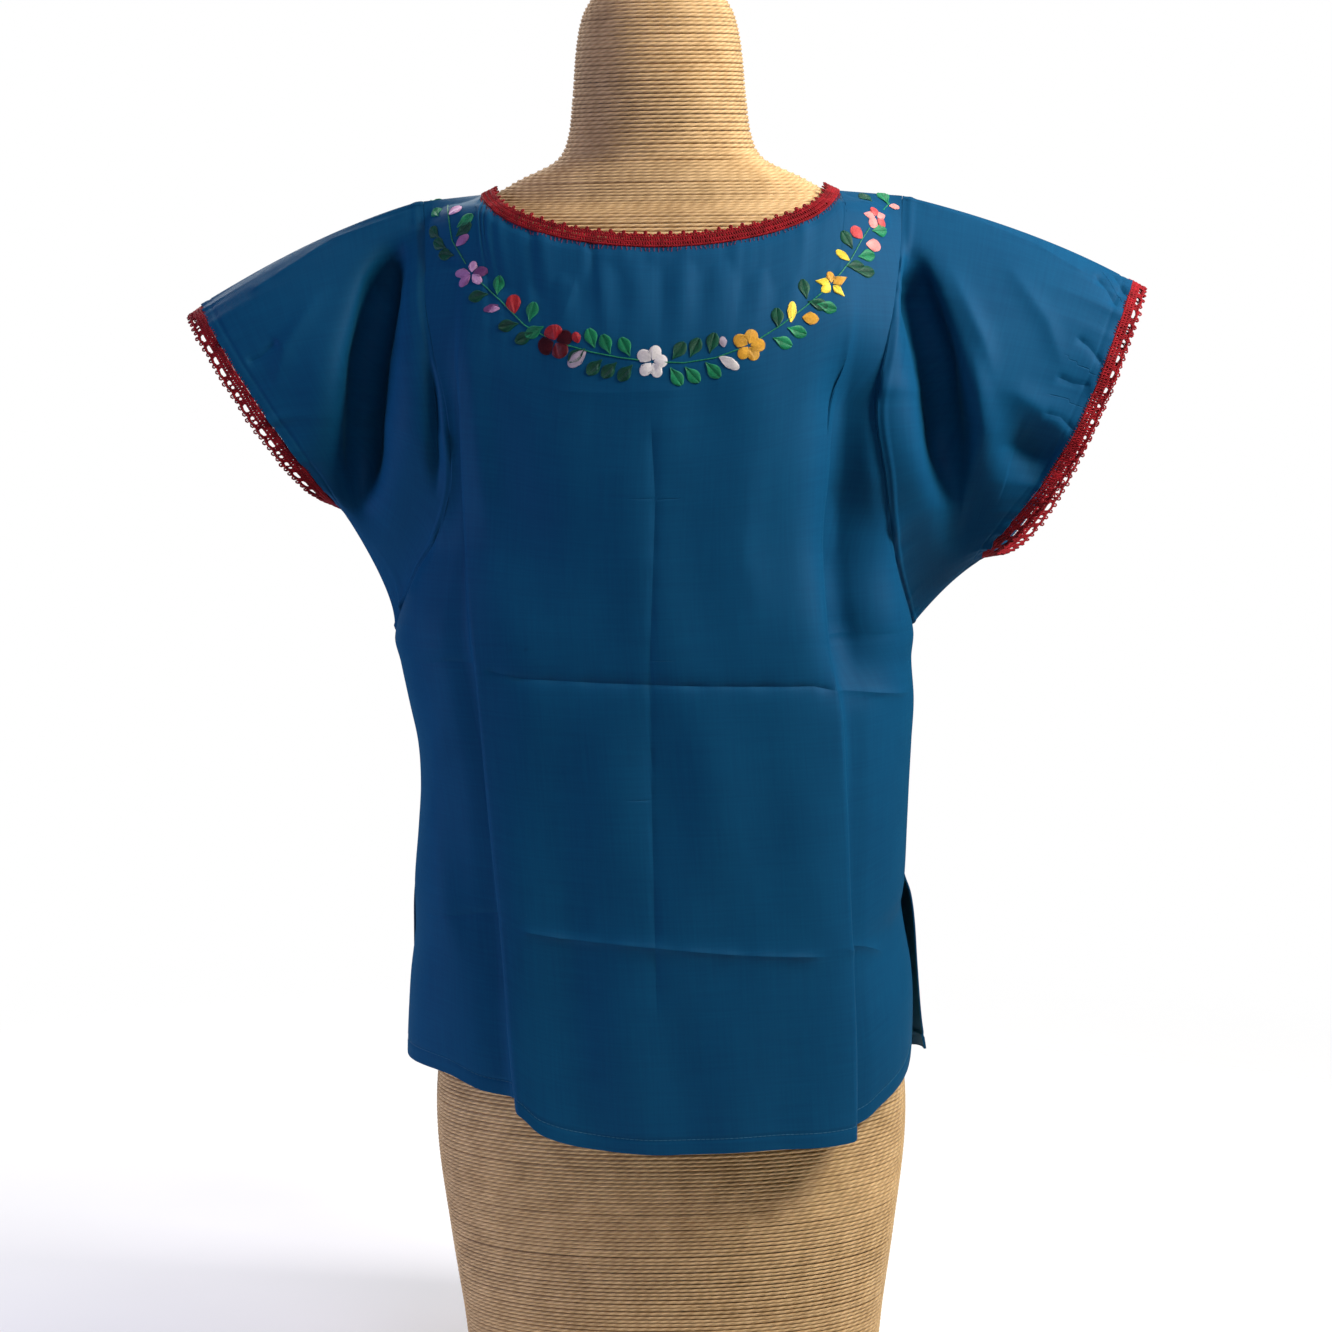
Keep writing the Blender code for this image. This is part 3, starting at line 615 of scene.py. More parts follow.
def paint(tree, shader, share, dark, light):
    mixer = tree.nodes.new("ShaderNodeMix")
    mixer.data_type = "RGBA"
    colours = [socket for socket in mixer.inputs if socket.type == "RGBA"]
    colours[0].default_value, colours[1].default_value = (*dark, 1), (*light, 1)
    feed(tree, share, mixer.inputs["Factor"])
    result = next(socket for socket in mixer.outputs if socket.type == "RGBA")
    tree.links.new(result, shader.inputs["Base Color"])


def emboss(tree, shader, height, depth, strength=1.0):
    bump = tree.nodes.new("ShaderNodeBump")
    bump.inputs["Distance"].default_value = depth
    bump.inputs["Strength"].default_value = strength
    tree.links.new(height, bump.inputs["Height"])
    tree.links.new(bump.outputs[0], shader.inputs["Normal"])


clothLook = {
    "light": (0.0030, 0.074, 0.170), "dark": (0.0016, 0.042, 0.112), "roughness": 0.60, "specular": 0.06,
    "sheen": 0.05, "sheenTint": (0.15, 0.7, 0.9), "threadPitch": 0.00048, "weaveDepth": 0.00003,
    "creaseWidth": 0.0020,
}
# Their dark and light: for the yarns, painted shade in the grooves between plies up to painted highlight on
# their crowns, spread by random tone; for the wound rows, painted shade between the rows
crochetColours = {
    "light": (0.36, 0.008, 0.016), "dark": (0.085, 0.0015, 0.004), "roughness": 0.75, "specular": 0.15,
    "sheen": 0.05, "twist": 0.0022, "plies": 3.0, "depth": 0.00012,
}
twineColours = {
    "light": (0.66, 0.46, 0.235), "dark": (0.40, 0.255, 0.115), "roughness": 0.85, "specular": 0.2,
    "sheen": 0.1, "twist": 0.0075, "plies": 2.0, "depth": 0.0004, "pitch": 0.0029,
}


def makeClothMaterial(look):
    material, tree, shader = newMaterial("tealCotton", look)
    weave = useGroup(tree, weaveTree, {"Thread pitch": look["threadPitch"]})
    share = calc(tree, "MULTIPLY_ADD", weave["Tone"], 1.1, calc(tree, "MULTIPLY", patchesOf(tree, 14), 0.5))
    paint(tree, shader, calc(tree, "SUBTRACT", share, 0.3), look["dark"], look["light"])
    height = calc(tree, "MULTIPLY", weave["Height"], look["weaveDepth"])
    for kind in ("level", "upright"):
        away, line = attributeOf(tree, kind + "Away")["Fac"], attributeOf(tree, kind + "Line")["Fac"]
        far = calc(tree, "DIVIDE", calc(tree, "ABSOLUTE", away), -look["creaseWidth"])
        height = calc(tree, "MULTIPLY_ADD", calc(tree, "EXPONENT", far), line, height)
    emboss(tree, shader, height, 1.0)
    return material


def makeYarnMaterial(name, look, patches):
    # Plied yarn, painted lighter on the crown of each ply and darker in the grooves between plies as painted
    # highlight and painted shade, with random patches of tone; the plies are also a bump
    material, tree, shader = newMaterial(name, look)
    twist = useGroup(tree, twistTree, {"Twist length": look["twist"], "Plies": look["plies"]})
    uneven = calc(tree, "MULTIPLY", patchesOf(tree, patches), 1.3)
    # The ply height lightens the crowns and darkens the grooves of the colour: painted highlight and painted
    # shade
    share = calc(tree, "MULTIPLY_ADD", twist["Height"], 0.55, uneven)
    paint(tree, shader, calc(tree, "SUBTRACT", share, 0.42), look["dark"], look["light"])
    emboss(tree, shader, twist["Height"], look["depth"], 0.8)
    return material


def makeWoundMaterial(look):
    # Rows of twine on the form's body where the cloth hides it, drawn as bumps, with painted shade between
    # the rows over the fibres' random tone
    material, tree, shader = newMaterial("juteRows", look)
    x, y, z = separated(tree, tree.nodes.new("ShaderNodeTexCoord").outputs["Object"])
    rows = calc(tree, "SINE", calc(tree, "MULTIPLY", z, 2 * math.pi / look["pitch"]))
    stretched = [calc(tree, "MULTIPLY", way, scale) for way, scale in ((x, 120), (y, 120), (z, 900))]
    fibres = noiseOf(tree, combined(tree, *stretched), 1.0)
    # The rows darken the colour between the turns: painted shade in the grooves, added to the fibres' random
    # tone
    share = calc(tree, "ADD", calc(tree, "MULTIPLY", rows, 0.2), fibres)
    paint(tree, shader, share, look["dark"], look["light"])
    emboss(tree, shader, rows, 0.0006)
    return material


clothMaterial = makeClothMaterial(clothLook)
crochetMaterial = makeYarnMaterial("redCrochetCotton", crochetColours, 160.0)
twineMaterial = makeYarnMaterial("juteTwine", twineColours, 60.0)
woundMaterial = makeWoundMaterial(twineColours)


# Meshes


def added(name, data):
    piece = bpy.data.objects.new(name, data)
    bpy.context.scene.collection.objects.link(piece)
    return piece


def makeObject(name, points, faces, material, sharpAngle=50):
    mesh = bpy.data.meshes.new(name)
    world = np.asarray(points, float).reshape(-1, 3) + (0, 0, baseLevel)
    mesh.from_pydata(world.tolist(), [], [tuple(face) for face in faces])
    mesh.update()
    mesh.shade_smooth()
    mesh.set_sharp_from_angle(angle=math.radians(sharpAngle))
    mesh.materials.append(material)
    return added(name, mesh)


def gridFaces(rows, columns, wraps=False):
    index = np.arange(rows * columns).reshape(rows, columns)
    after = np.roll(index, -1, axis=1) if wraps else index[:, 1:]
    here = index if wraps else index[:, :-1]
    return index, np.stack([here[:-1], after[:-1], after[1:], here[1:]], -1).reshape(-1, 4)


def gridNormals(points, wraps=False):
    # Unit normals of a grid of points, rows first
    if wraps:
        across = np.roll(points, -1, axis=1) - np.roll(points, 1, axis=1)
    else:
        across = np.gradient(points, axis=1)
    return unit(np.cross(across, np.gradient(points, axis=0)))


def makeSheet(name, points, normals, thickness, material, wraps=False, uv=None):
    # A grid of points thickened both ways into one closed shell, with its UV map in metres
    rows, columns = points.shape[:2]
    outer = points + normals * thickness[..., None] / 2
    inner = points - normals * thickness[..., None] / 2
    index, front = gridFaces(rows, columns, wraps)
    count = rows * columns
    back = front[:, ::-1] + count
    rims = []

    def rim(line):
        a, b = line[:-1], line[1:]
        rims.append(np.stack([b, a, a + count, b + count], -1))

    lower, upper = index[0], index[-1]
    if wraps:
        rim(np.r_[lower, lower[0]])
        rim(np.r_[upper, upper[0]][::-1])
    else:
        rim(lower)
        rim(upper[::-1])
        rim(index[:, -1])
        rim(index[::-1, 0])
    faces = np.vstack([front, back] + rims)
    piece = makeObject(name, np.concatenate([outer.reshape(-1, 3), inner.reshape(-1, 3)]), faces, material)
    if uv is not None:
        layer = piece.data.uv_layers.new(name="UVMap")
        loops = np.empty(len(piece.data.loops), np.int32)
        piece.data.loops.foreach_get("vertex_index", loops)
        both = np.concatenate([uv.reshape(-1, 2), uv.reshape(-1, 2)])[loops]
        if wraps:  # the faces that close the ring carry on past its last column
            around = np.diff(uv[0, :2, 0])[0] * columns
            corners = both[:, 0].reshape(-1, 4)
            highest = corners.max(axis=1, keepdims=True)
            closing = (highest - corners.min(axis=1, keepdims=True) > around / 2) & (corners < highest / 2)
            both[:, 0] = np.where(closing, corners + around, corners).ravel()
        layer.data.foreach_set("uv", both.ravel())
    return piece


def sheetUv(points, wraps=False):
    across = np.linalg.norm(np.diff(points, axis=1), axis=2)
    up = np.linalg.norm(np.diff(points, axis=0), axis=2).mean(axis=1)
    u = np.concatenate([np.zeros((points.shape[0], 1)), np.cumsum(across, axis=1)], axis=1)
    if wraps:
        u[:] = np.arange(points.shape[1]) * across.mean()
    else:
        u -= u[:, [points.shape[1] // 2]]
    v = np.concatenate([[0], np.cumsum(up)])[:, None] + 0 * u
    return np.stack([u, v], -1)


def markCreases(piece, marks, mirrored):
    # For the material: the way to the nearest sharp lines, and their heights, which turn over inside
    for kind, mark in marks.items():
        away, line = (grid[:, ::-1].ravel() if mirrored else grid.ravel() for grid in mark)
        for label, values in (("Away", np.r_[away, away]), ("Line", np.r_[line, -line])):
            layer = piece.data.attributes.new(kind + label, "FLOAT", "POINT")
            layer.data.foreach_set("value", values.astype(np.float32))


def dressed(piece, slot, *nodes):
    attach(piece, "root")
    if nodes:
        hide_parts(*nodes)
    return piece


# The form

formLook = {"turns": 120, "rows": 220, "capRows": 30, "capFrom": 0.93, "shrink": 0.0016}


def formRing(angle, z, grow=0.0):
    c, s = np.cos(angle), np.sin(angle)
    power = 2 / formSquareness
    depth = np.where(s < 0, readTable(formTable, "back", z), readTable(formTable, "front", z)) + grow
    x = (readTable(formTable, "halfWidth", z) + grow) * np.copysign(abs(c) ** power, c)
    return vectorOf(x, depth * np.copysign(abs(s) ** power, s), z)


def makeForm():
    z = np.linspace(formTable["z"][0], formLook["capFrom"], formLook["rows"])
    z = np.r_[z, np.linspace(formLook["capFrom"], formTable["z"][-1], formLook["capRows"])[1:]]
    angle = np.arange(formLook["turns"]) / formLook["turns"] * 2 * math.pi
    points = formRing(angle[None], z[:, None] + 0 * angle[None], -formLook["shrink"])
    index, sides = gridFaces(*points.shape[:2], True)
    faces = sides.tolist() + [index[0, ::-1].tolist(), index[-1].tolist()]
    return makeObject("form_body", points, faces, woundMaterial)


dressed(makeForm(), "twine", "dress_form")
print("blouse: form made")

# The two panels

panelLook = {
    "back": {"middle": 124, "sides": 27, "above": 112, "dense": [(0, 0.036), (0.34, 0.465), (0.86, 0.985)]},
    "front": {"middle": 100, "sides": 24, "above": 96, "dense": [(0, 0.036), (0.37, 0.46), (0.87, 0.97)]},
    "fine": 0.0034, "coarse": 0.0100,
    "thickness": 0.0010,
}


def panelGrid(face):
    look = panelLook[face]
    outer = 1 + (np.arange(1, look["sides"] + 1) / look["sides"]) ** 1.2
    middle = np.linspace(-1, 1, look["middle"] + 1)
    band = np.r_[-outer[::-1], middle, outer]
    # Rows lie close together along the hem's stitches and the pressed creases
    at = np.linspace(0, 1, 2001)
    dense = sum(smooth((at - low) / 0.01 + 1) * smooth((high - at) / 0.01 + 1) for low, high in look["dense"])
    row = mix(panelLook["coarse"], panelLook["fine"], np.clip(dense[:-1], 0, 1))
    count = np.r_[0, np.cumsum(1 / row / 2000)]
    below = np.interp(np.linspace(0, count[-1], int(count[-1]) + 1), count, at)[:-1]
    above = 1.5 - 0.5 * np.cos(np.linspace(0, math.pi, look["above"]))
    return np.meshgrid(band, np.r_[below, above])


def panelSurface(face):
    band, upTo = panelGrid(face)
    points = panelPoint(face, band, upTo)
    atSide = (abs(band) >= 2) & (upTo <= 1)
    atTop = (upTo >= 2) & (abs(band) >= 1)
    points[..., 1] += np.where(atSide | atTop, faceSign[face] * seamGap / 2, 0)
    return band, upTo, points


def crease(height, width, fade, line=0, upright=False):
    # In millimetres: how far it stands up, its reach to either side and the way over which its ends
    # fade. A pressed one also has a sharp line of some height, which the material draws
    return {"height": height / 1000, "width": width / 1000, "fade": fade / 1000, "line": line / 1000,
            "upright": upright}


gather = crease(-1.6, 3, 6, -0.5)
ridge = crease(1.7, 5.5, 14, 0.85)
valley = crease(-1.9, 6, 14, -0.95)
faint = crease(-1.1, 4, 22, -0.45)
middleFold = crease(-1.3, 5.5, 40, -0.45, True)
soft = crease(3.2, 11, 50)
# Each runs through its (x, z) points, in millimetres
creases = {
    "back": [
        ([(-180, 478), (-152, 482), (-128, 480)], faint),
        ([(-128, 480), (-100, 474), (-45, 471), (23, 468), (102, 466), (121, 461)], valley),
        ([(118, 461), (140, 457), (173, 451)], ridge),
        ([(-172, 299), (-151, 301), (-110, 309)], faint),
        ([(-107, 300), (-75, 294), (-6, 287), (49, 281), (111, 277)], ridge),
        ([(120, 282), (137, 276), (153, 268)], ridge),
        ([(-91, 672), (-40, 669), (30, 671)], crease(0.6, 3, 30, 0.12)),
        ([(-9, 664), (-6, 596), (-11, 486), (-11, 390), (-9, 230)], middleFold),
        ([(-155, 462), (-163, 366), (-156, 306), (-141, 251)], soft),
        ([(-70, 715), (-62, 735), (-57, 752)], crease(1.2, 3, 15, 0.15)),
        ([(150, 560), (142, 620), (140, 680)], soft),
        ([(127, 725), (124.5, 640), (124, 560), (132, 490), (138, 440)], crease(-20, 18, 70)),
        ([(118, 560), (126, 640), (130, 720)], soft),
        ([(-120, 560), (-128, 640), (-136, 730)], soft),
        ([(60, 640), (55, 560), (68, 500)], crease(1.4, 12, 50)),
    ],
    "front": [
        ([(-160, 470), (-80, 463), (10, 466), (90, 461), (165, 468)], valley),
        ([(-150, 296), (-70, 290), (20, 292), (120, 286)], ridge),
        ([(4, 640), (6, 520), (2, 380), (4, 230)], middleFold),
        ([(-135, 600), (-128, 680), (-132, 740)], soft),
        ([(150, 540), (138, 620), (136, 690)], soft),
    ],
    "left": [
        ([(-172, 795), (-193, 787), (-231, 774), (-264, 753), (-290, 737)], crease(1, 3, 12, 0.3)),
        ([(-178, 782), (-195, 742), (-205, 690), (-210, 640), (-213, 575)], crease(-21, 9, 55)),
        ([(-160, 740), (-157, 680), (-158, 590)], crease(-7, 4.5, 40)),
        ([(-230, 750), (-262, 700), (-272, 660)], crease(2, 7, 40)),
        ([(-290, 690), (-279, 694), (-266, 706)], gather),
    ],
    "right": [
        ([(180, 795), (220, 783), (262, 765), (300, 742)], crease(0.8, 3, 12, 0.25)),
        ([(214, 700), (223, 638), (214, 602), (205, 559)], crease(4.5, 8, 40)),
        ([(163, 780), (178, 732), (190, 690), (196, 642), (199, 580)], crease(-16.5, 10, 60)),
        ([(226, 668), (246, 662), (270, 646), (290, 628)], crease(4, 11, 30)),
        ([(224, 628), (246, 624), (270, 612), (284, 602)], crease(-11.5, 17, 30)),
        ([(196, 760), (222, 700), (234, 660)], crease(3, 7, 50)),
        ([(235, 760), (268, 712), (282, 668)], crease(1.8, 7, 40)),
        ([(312, 750), (317, 742), (327, 724)], gather),
        ([(303, 744), (312, 732), (318, 720)], gather),
        ([(287, 702), (297, 694), (309, 678)], gather),
        ([(272, 675), (285, 669), (299, 667)], gather),
        ([(262, 650), (276, 646), (290, 632)], gather),
    ],
}


def besidePath(x, z, path):
    # How far above or below a path a point is, its place along it and the path's length
    path = np.array(path) / 1000
    apart, place, run = np.full(x.shape, 9.0), np.zeros(x.shape), 0.0
    for start, end in zip(path, path[1:]):
        length = np.linalg.norm(end - start)
        way = (end - start) / length
        along = np.clip((x - start[0]) * way[0] + (z - start[1]) * way[1], 0, length)
        dx, dz = x - start[0] - way[0] * along, z - start[1] - way[1] * along
        side = np.sign(abs(way[0]) * dz - np.sign(way[0]) * way[1] * dx)
        nearer = np.hypot(dx, dz) < abs(apart)
        apart = np.where(nearer, np.hypot(dx, dz) * np.where(side == 0, 1, side), apart)
        place = np.where(nearer, run + along, place)
        run += length
    return apart, place, run


def creasesOf(name, x, z):
    # The form of all creases, and for level and upright sharp lines the way to the nearest and its height
    total = np.zeros(x.shape)
    marks = {kind: [np.full(x.shape, 0.03), np.zeros(x.shape)] for kind in ("level", "upright")}
    for path, look in creases[name]:
        apart, place, run = besidePath(x, z, path)
        fade = smooth(place / look["fade"]) * smooth((run - place) / look["fade"])
        if look["line"]:
            uneven = 1 + 0.3 * np.sin(place * 190 + 2) * np.sin(place * 71)
            total += look["height"] * fade * uneven * np.exp(-abs(apart) / look["width"])
            height = look["line"] * fade * uneven * smooth((0.02 - abs(apart)) / 0.008)
            mark = marks["upright" if look["upright"] else "level"]
            nearer = abs(apart) < abs(mark[0])
            mark[:] = np.where(nearer, apart, mark[0]), np.where(nearer, height, mark[1])
        else:
            total += look["height"] * fade * np.exp(-((abs(apart) / look["width"]) ** 1.6))
    return total, marks


puckers = {"count": 46, "height": 0.0010, "reach": 0.045, "seed": 11}


def neckPuckers(face, band, upTo):
    # Fine gathers of uneven length and width below the neck edge
    rng = np.random.default_rng(puckers["seed"] + (face == "front"))
    down = (1 - aboveArm(upTo)) * 0.27  # about the metres below the neck edge
    total = np.zeros(band.shape)
    for _ in range(puckers["count"]):
        centre, width = rng.uniform(-0.95, 0.95), rng.uniform(0.012, 0.030)
        lean, reach = rng.normal(0, 0.35), puckers["reach"] * rng.uniform(0.35, 1.6)
        height = puckers["height"] * rng.uniform(0.3, 1.0) * rng.choice([-1.0, 1.0], p=[0.35, 0.65])
        at = (band - centre - lean * down) / (width * (1 + 6 * down))
        total += height * np.exp(-at * at) * np.exp(-down / reach) * smooth(down / 0.004 + 0.35)
    return total * smooth((0.96 - abs(band)) / 0.16)


def softWaves(x, z, seed, height):
    # Broad uneven hills and hollows that no hanging cloth is without
    rng = np.random.default_rng(seed)
    total = np.zeros(x.shape)
    for _ in range(14):
        angle, length, phase = rng.uniform(-0.5, 0.5), rng.uniform(0.05, 0.16), rng.uniform(0, 6.28)
        total += np.sin(2 * math.pi * (x * math.cos(angle) + z * math.sin(angle)) / length + phase)
    return total * height / 5


# The cloth beyond each long fold tucks in behind the fold's lip
tucks = {
    "back": {-1: 0.0085, 1: 0.0045}, "front": {-1: 0.003, 1: 0.003},
    "reach": 0.32, "from": 0.62, "full": 0.44,
}
# Turned-up edges, with the dent of their stitches
hemLook = {"depth": 0.0105, "extra": 0.0008, "step": 0.0012}
cuffHemLook = {"depth": 0.007, "extra": 0.0007, "step": 0.001}
dentLook = {"height": 0.0005, "width": 0.0012}
clothGap = 0.0020


def turnEdge(points, normals, rise, look):
    # Thicker on the inside, up to the line of stitches
    hem = smooth((look["depth"] + look["step"] - rise) / look["step"])
    dent = np.exp(-(((rise - look["depth"]) / dentLook["width"]) ** 2)) * dentLook["height"]
    return points - normals * (dent + hem * look["extra"] / 2)[..., None], hem * look["extra"]


def makePanel(face):
    band, upTo, points = panelSurface(face)
    x, z = points[..., 0].copy(), points[..., 2].copy()
    w = aboveArm(upTo)
    for side in (-1, 1):
        past = np.clip((band * side - 1) / tucks["reach"], 0, 1)
        amount = tucks[face][side] * smooth((tucks["from"] - z) / (tucks["from"] - tucks["full"]))
        points[..., 0] -= side * amount * np.sin(math.pi * past) ** 1.3
    offset, marks = creasesOf(face, x, z)
    offset += softWaves(x, z, 3 if face == "back" else 5, 0.0014) * smooth((0.86 - w) / 0.3)
    offset *= smooth((2 - abs(band)) / 0.12) * smooth((0.97 - w) / 0.1)
    offset += neckPuckers(face, band, upTo)
    if face == "front":
        points, offset = points[:, ::-1], offset[:, ::-1]
    points = clearOfForm(points + gridNormals(points) * offset[..., None], clothGap)
    normals = gridNormals(points)
    rise = np.cumsum(np.linalg.norm(np.diff(points, axis=0, prepend=points[:1]), axis=2), axis=0)
    points, extra = turnEdge(points, normals, rise, hemLook)
    thickness = panelLook["thickness"] + extra
    piece = makeSheet(face + "_cloth", points, normals, thickness, clothMaterial, uv=sheetUv(points))
    markCreases(piece, marks, face == "front")
    dressed(piece, "cloth", face + "_panel")
    outer = points + normals * thickness[..., None] / 2
    return {"piece": piece, "outer": outer, "normals": normals, "rise": rise}


panels = {face: makePanel(face) for face in faceSign}
print("blouse: panels made")

# The sleeves

sleeveLook = {
    "along": 132, "around": 340, "thickness": 0.0010,
    "puckers": 64, "puckerHeight": 0.0021, "seamRidge": 0.0007,
}


def sleeveGrid():
    turn = np.arange(sleeveLook["around"]) / sleeveLook["around"]
    along = np.linspace(0, 1, sleeveLook["along"])
    return np.meshgrid(turn, along)


def sleevePuckers(name, along, turn):
    # Small gathers at the cuff and at the armhole seam
    rng = np.random.default_rng(21 if name == "left" else 22)
    total = np.zeros(along.shape)
    for k in range(sleeveLook["puckers"]):
        centre, width, reach = rng.uniform(0, 1), rng.uniform(0.004, 0.010), rng.uniform(0.05, 0.20)
        height = sleeveLook["puckerHeight"] * rng.uniform(0.2, 1.0)
        apart = (turn - centre + 0.5) % 1 - 0.5
        far = 1 - along if k % 3 else along
        total += height * np.exp(-((apart / width) ** 2)) * np.exp(-far / reach)
    return total


def makeSleeve(name):
    turn, along = sleeveGrid()
    points = sleeveBody(name, along, turn)
    settle = smooth(along / 0.05) * smooth((1 - along) / 0.03)
    isBack = smooth((np.sin(2 * math.pi * turn)) * 3 * np.where(ringPlace(turn)[0], 1, 0))
    ring = sleeveLook["seamRidge"] * np.exp(-(((along - 0.035) / 0.014) ** 2))
    offset, marks = creasesOf(name, points[..., 0], points[..., 2])
    offset = offset * isBack * settle + sleevePuckers(name, along, turn) + ring
    marks["level"][1] *= isBack
    offset = offset * smooth(along / 0.012)
    if sleeves[name]["side"] < 0:
        points, offset = points[:, ::-1], offset[:, ::-1]
    points = clearOfForm(points + gridNormals(points, wraps=True) * offset[..., None], clothGap)
    normals = gridNormals(points, wraps=True)
    step = np.linalg.norm(np.diff(points, axis=0, append=points[-1:]), axis=2)
    toEdge = np.cumsum(step[::-1], axis=0)[::-1]
    points, extra = turnEdge(points, normals, toEdge, cuffHemLook)
    thickness = sleeveLook["thickness"] + extra
    uv = sheetUv(points, True)
    piece = makeSheet("sleeve_cloth_" + name, points, normals, thickness, clothMaterial, True, uv)
    markCreases(piece, marks, sleeves[name]["side"] < 0)
    return dressed(piece, "cloth", "sleeve_" + name)


sleevePieces = {name: makeSleeve(name) for name in sleeves}
print("blouse: sleeves made")

# Edging strips: a grid of points and normals that the crochet is laid on

stripLook = {
    "neck": {"columns": 260, "reach": 0.0136, "step": 0.0008, "gap": 0.0028, "riseTowards": 0.12},
    "cuff": {"columns": 360, "reach": 0.0161, "step": 0.002, "gap": 0.0006, "lowGap": 0.0008,
             "slopeFrom": 0.93, "axisShare": (0.42, 0.6)},
}


def stripOf(points, normals, reach):
    # points has one row for each step outward, and goes round without a repeated column
    around = np.linalg.norm(np.roll(points[0], -1, axis=0) - points[0], axis=1)
    lengths = np.r_[0, np.cumsum(around)]
    return {"points": points, "normals": normals, "reach": reach, "lengths": lengths}


def onStrip(strip, s, t, h):
    # s metres along the edge, t metres outward, h metres off the surface
    lengths, points, normals = strip["lengths"], strip["points"], strip["normals"]
    columns = points.shape[1]
    place = np.interp(np.mod(s, lengths[-1]), lengths, np.arange(columns + 1.0))
    row = np.interp(t, strip["reach"], np.arange(len(strip["reach"]) * 1.0))
    k, r = np.floor(place).astype(int), np.minimum(np.floor(row).astype(int), points.shape[0] - 2)
    overK, overR = (place - k)[..., None], (row - r)[..., None]
    k0, k1 = k % columns, (k + 1) % columns

    def blend(grid):
        return mix(mix(grid[r, k0], grid[r, k1], overK), mix(grid[r + 1, k0], grid[r + 1, k1], overK), overR)

    return blend(points) + unit(blend(normals)) * np.asarray(h)[..., None]


def neckStrip():
    look = stripLook["neck"]
    across = np.linspace(-1, 1, look["columns"])
    edge = np.vstack([neckline("back", across), neckline("front", across[::-1])[1:-1]])
    along = unit(np.roll(edge, -1, axis=0) - np.roll(edge, 1, axis=0))
    place = edge
    rows, outs = [], []
    reach = np.arange(0, look["reach"], look["step"])
    for _ in reach:
        place = seat(place, look["gap"])
        out = formDistance(place)[1]
        rows.append(place)
        outs.append(out)
        inward = unit(np.cross(out, along))
        towards = vectorOf(-place[:, 0], -place[:, 1], look["riseTowards"])
        inward *= np.sign((inward * towards).sum(-1, keepdims=True))
        place = place + inward * look["step"]
    return stripOf(np.array(rows), np.array(outs), reach)


def cuffStrip(name):
    look = stripLook["cuff"]
    turn = np.arange(look["columns"]) / look["columns"]
    edge = sleeveBody(name, np.ones(len(turn)), turn)
    tangent = unit(edge - sleeveBody(name, np.full(len(turn), look["slopeFrom"]), turn))
    w = ringPlace(turn)[1]
    out = unit(tangent + (sleeveAxis(name) - tangent) * mix(*look["axisShare"], w)[..., None])
    around = unit(np.roll(edge, -1, axis=0) - np.roll(edge, 1, axis=0))
    normal = unit(np.cross(around, out)) * (sleeves[name]["side"] * 1.0)
    reach = np.arange(-look["step"], look["reach"], look["step"])
    start = edge + out * (look["lowGap"] * (1 - w) ** 2)[..., None]
    rows = np.array([start + out * (t + look["gap"]) for t in reach])
    return stripOf(rows, np.repeat(normal[None], len(reach), axis=0), reach)


strips = {"neck": neckStrip(), "left": cuffStrip("left"), "right": cuffStrip("right")}

# Yarn: a node group that sweeps a round section along a mesh of edges

yarnSockets = [
    ("Geometry", "INPUT", "Geometry"), ("Yarn radius", "INPUT", "Float"), ("Yarn sides", "INPUT", "Int"),
    ("Material", "INPUT", "Material"), ("Geometry", "OUTPUT", "Geometry"),
]
yarnNodes = {
    "given": "NodeGroupInput", "line": "GeometryNodeMeshToCurve", "length": "GeometryNodeSplineParameter",
    "along": "GeometryNodeStoreNamedAttribute", "circle": "GeometryNodeCurvePrimitiveCircle",
    "place": "GeometryNodeInputPosition", "ring": "GeometryNodeStoreNamedAttribute",
    "sweep": "GeometryNodeCurveToMesh", "realize": "GeometryNodeRealizeInstances",
    "paint": "GeometryNodeSetMaterial", "made": "NodeGroupOutput",
}
yarnLinks = [
    ("given", "Geometry", "line", "Mesh"), ("line", "Curve", "along", "Geometry"),
    ("length", "Length", "along", "Value"), ("given", "Yarn radius", "circle", "Radius"),
    ("given", "Yarn sides", "circle", "Resolution"), ("circle", "Curve", "ring", "Geometry"),
    ("place", "Position", "ring", "Value"), ("along", "Geometry", "sweep", "Curve"),
    ("ring", "Geometry", "sweep", "Profile Curve"), ("sweep", "Mesh", "realize", "Geometry"),
    ("realize", "Geometry", "paint", "Geometry"), ("given", "Material", "paint", "Material"),
    ("paint", "Geometry", "made", "Geometry"),
]


def buildYarnTree():
    tree = bpy.data.node_groups.new("yarnFromEdges", "GeometryNodeTree")
    for label, way, kind in yarnSockets:
        tree.interface.new_socket(label, in_out=way, socket_type="NodeSocket" + kind)
    nodes = {name: tree.nodes.new(kind) for name, kind in yarnNodes.items()}
    nodes["along"].inputs["Name"].default_value = "yarnAlong"
    nodes["ring"].data_type = "FLOAT_VECTOR"
    nodes["ring"].inputs["Name"].default_value = "yarnRing"
    nodes["sweep"].inputs["Fill Caps"].default_value = True
    for start, output, end, socket in yarnLinks:
        tree.links.new(nodes[start].outputs[output], nodes[end].inputs[socket])
    return tree


yarnTree = buildYarnTree()


def setInput(modifier, name, value):
    # A modifier's input is set by its socket's identifier
    for item in modifier.node_group.interface.items_tree:
        if item.item_type == "SOCKET" and item.in_out == "INPUT" and item.name == name:
            modifier[item.identifier] = value


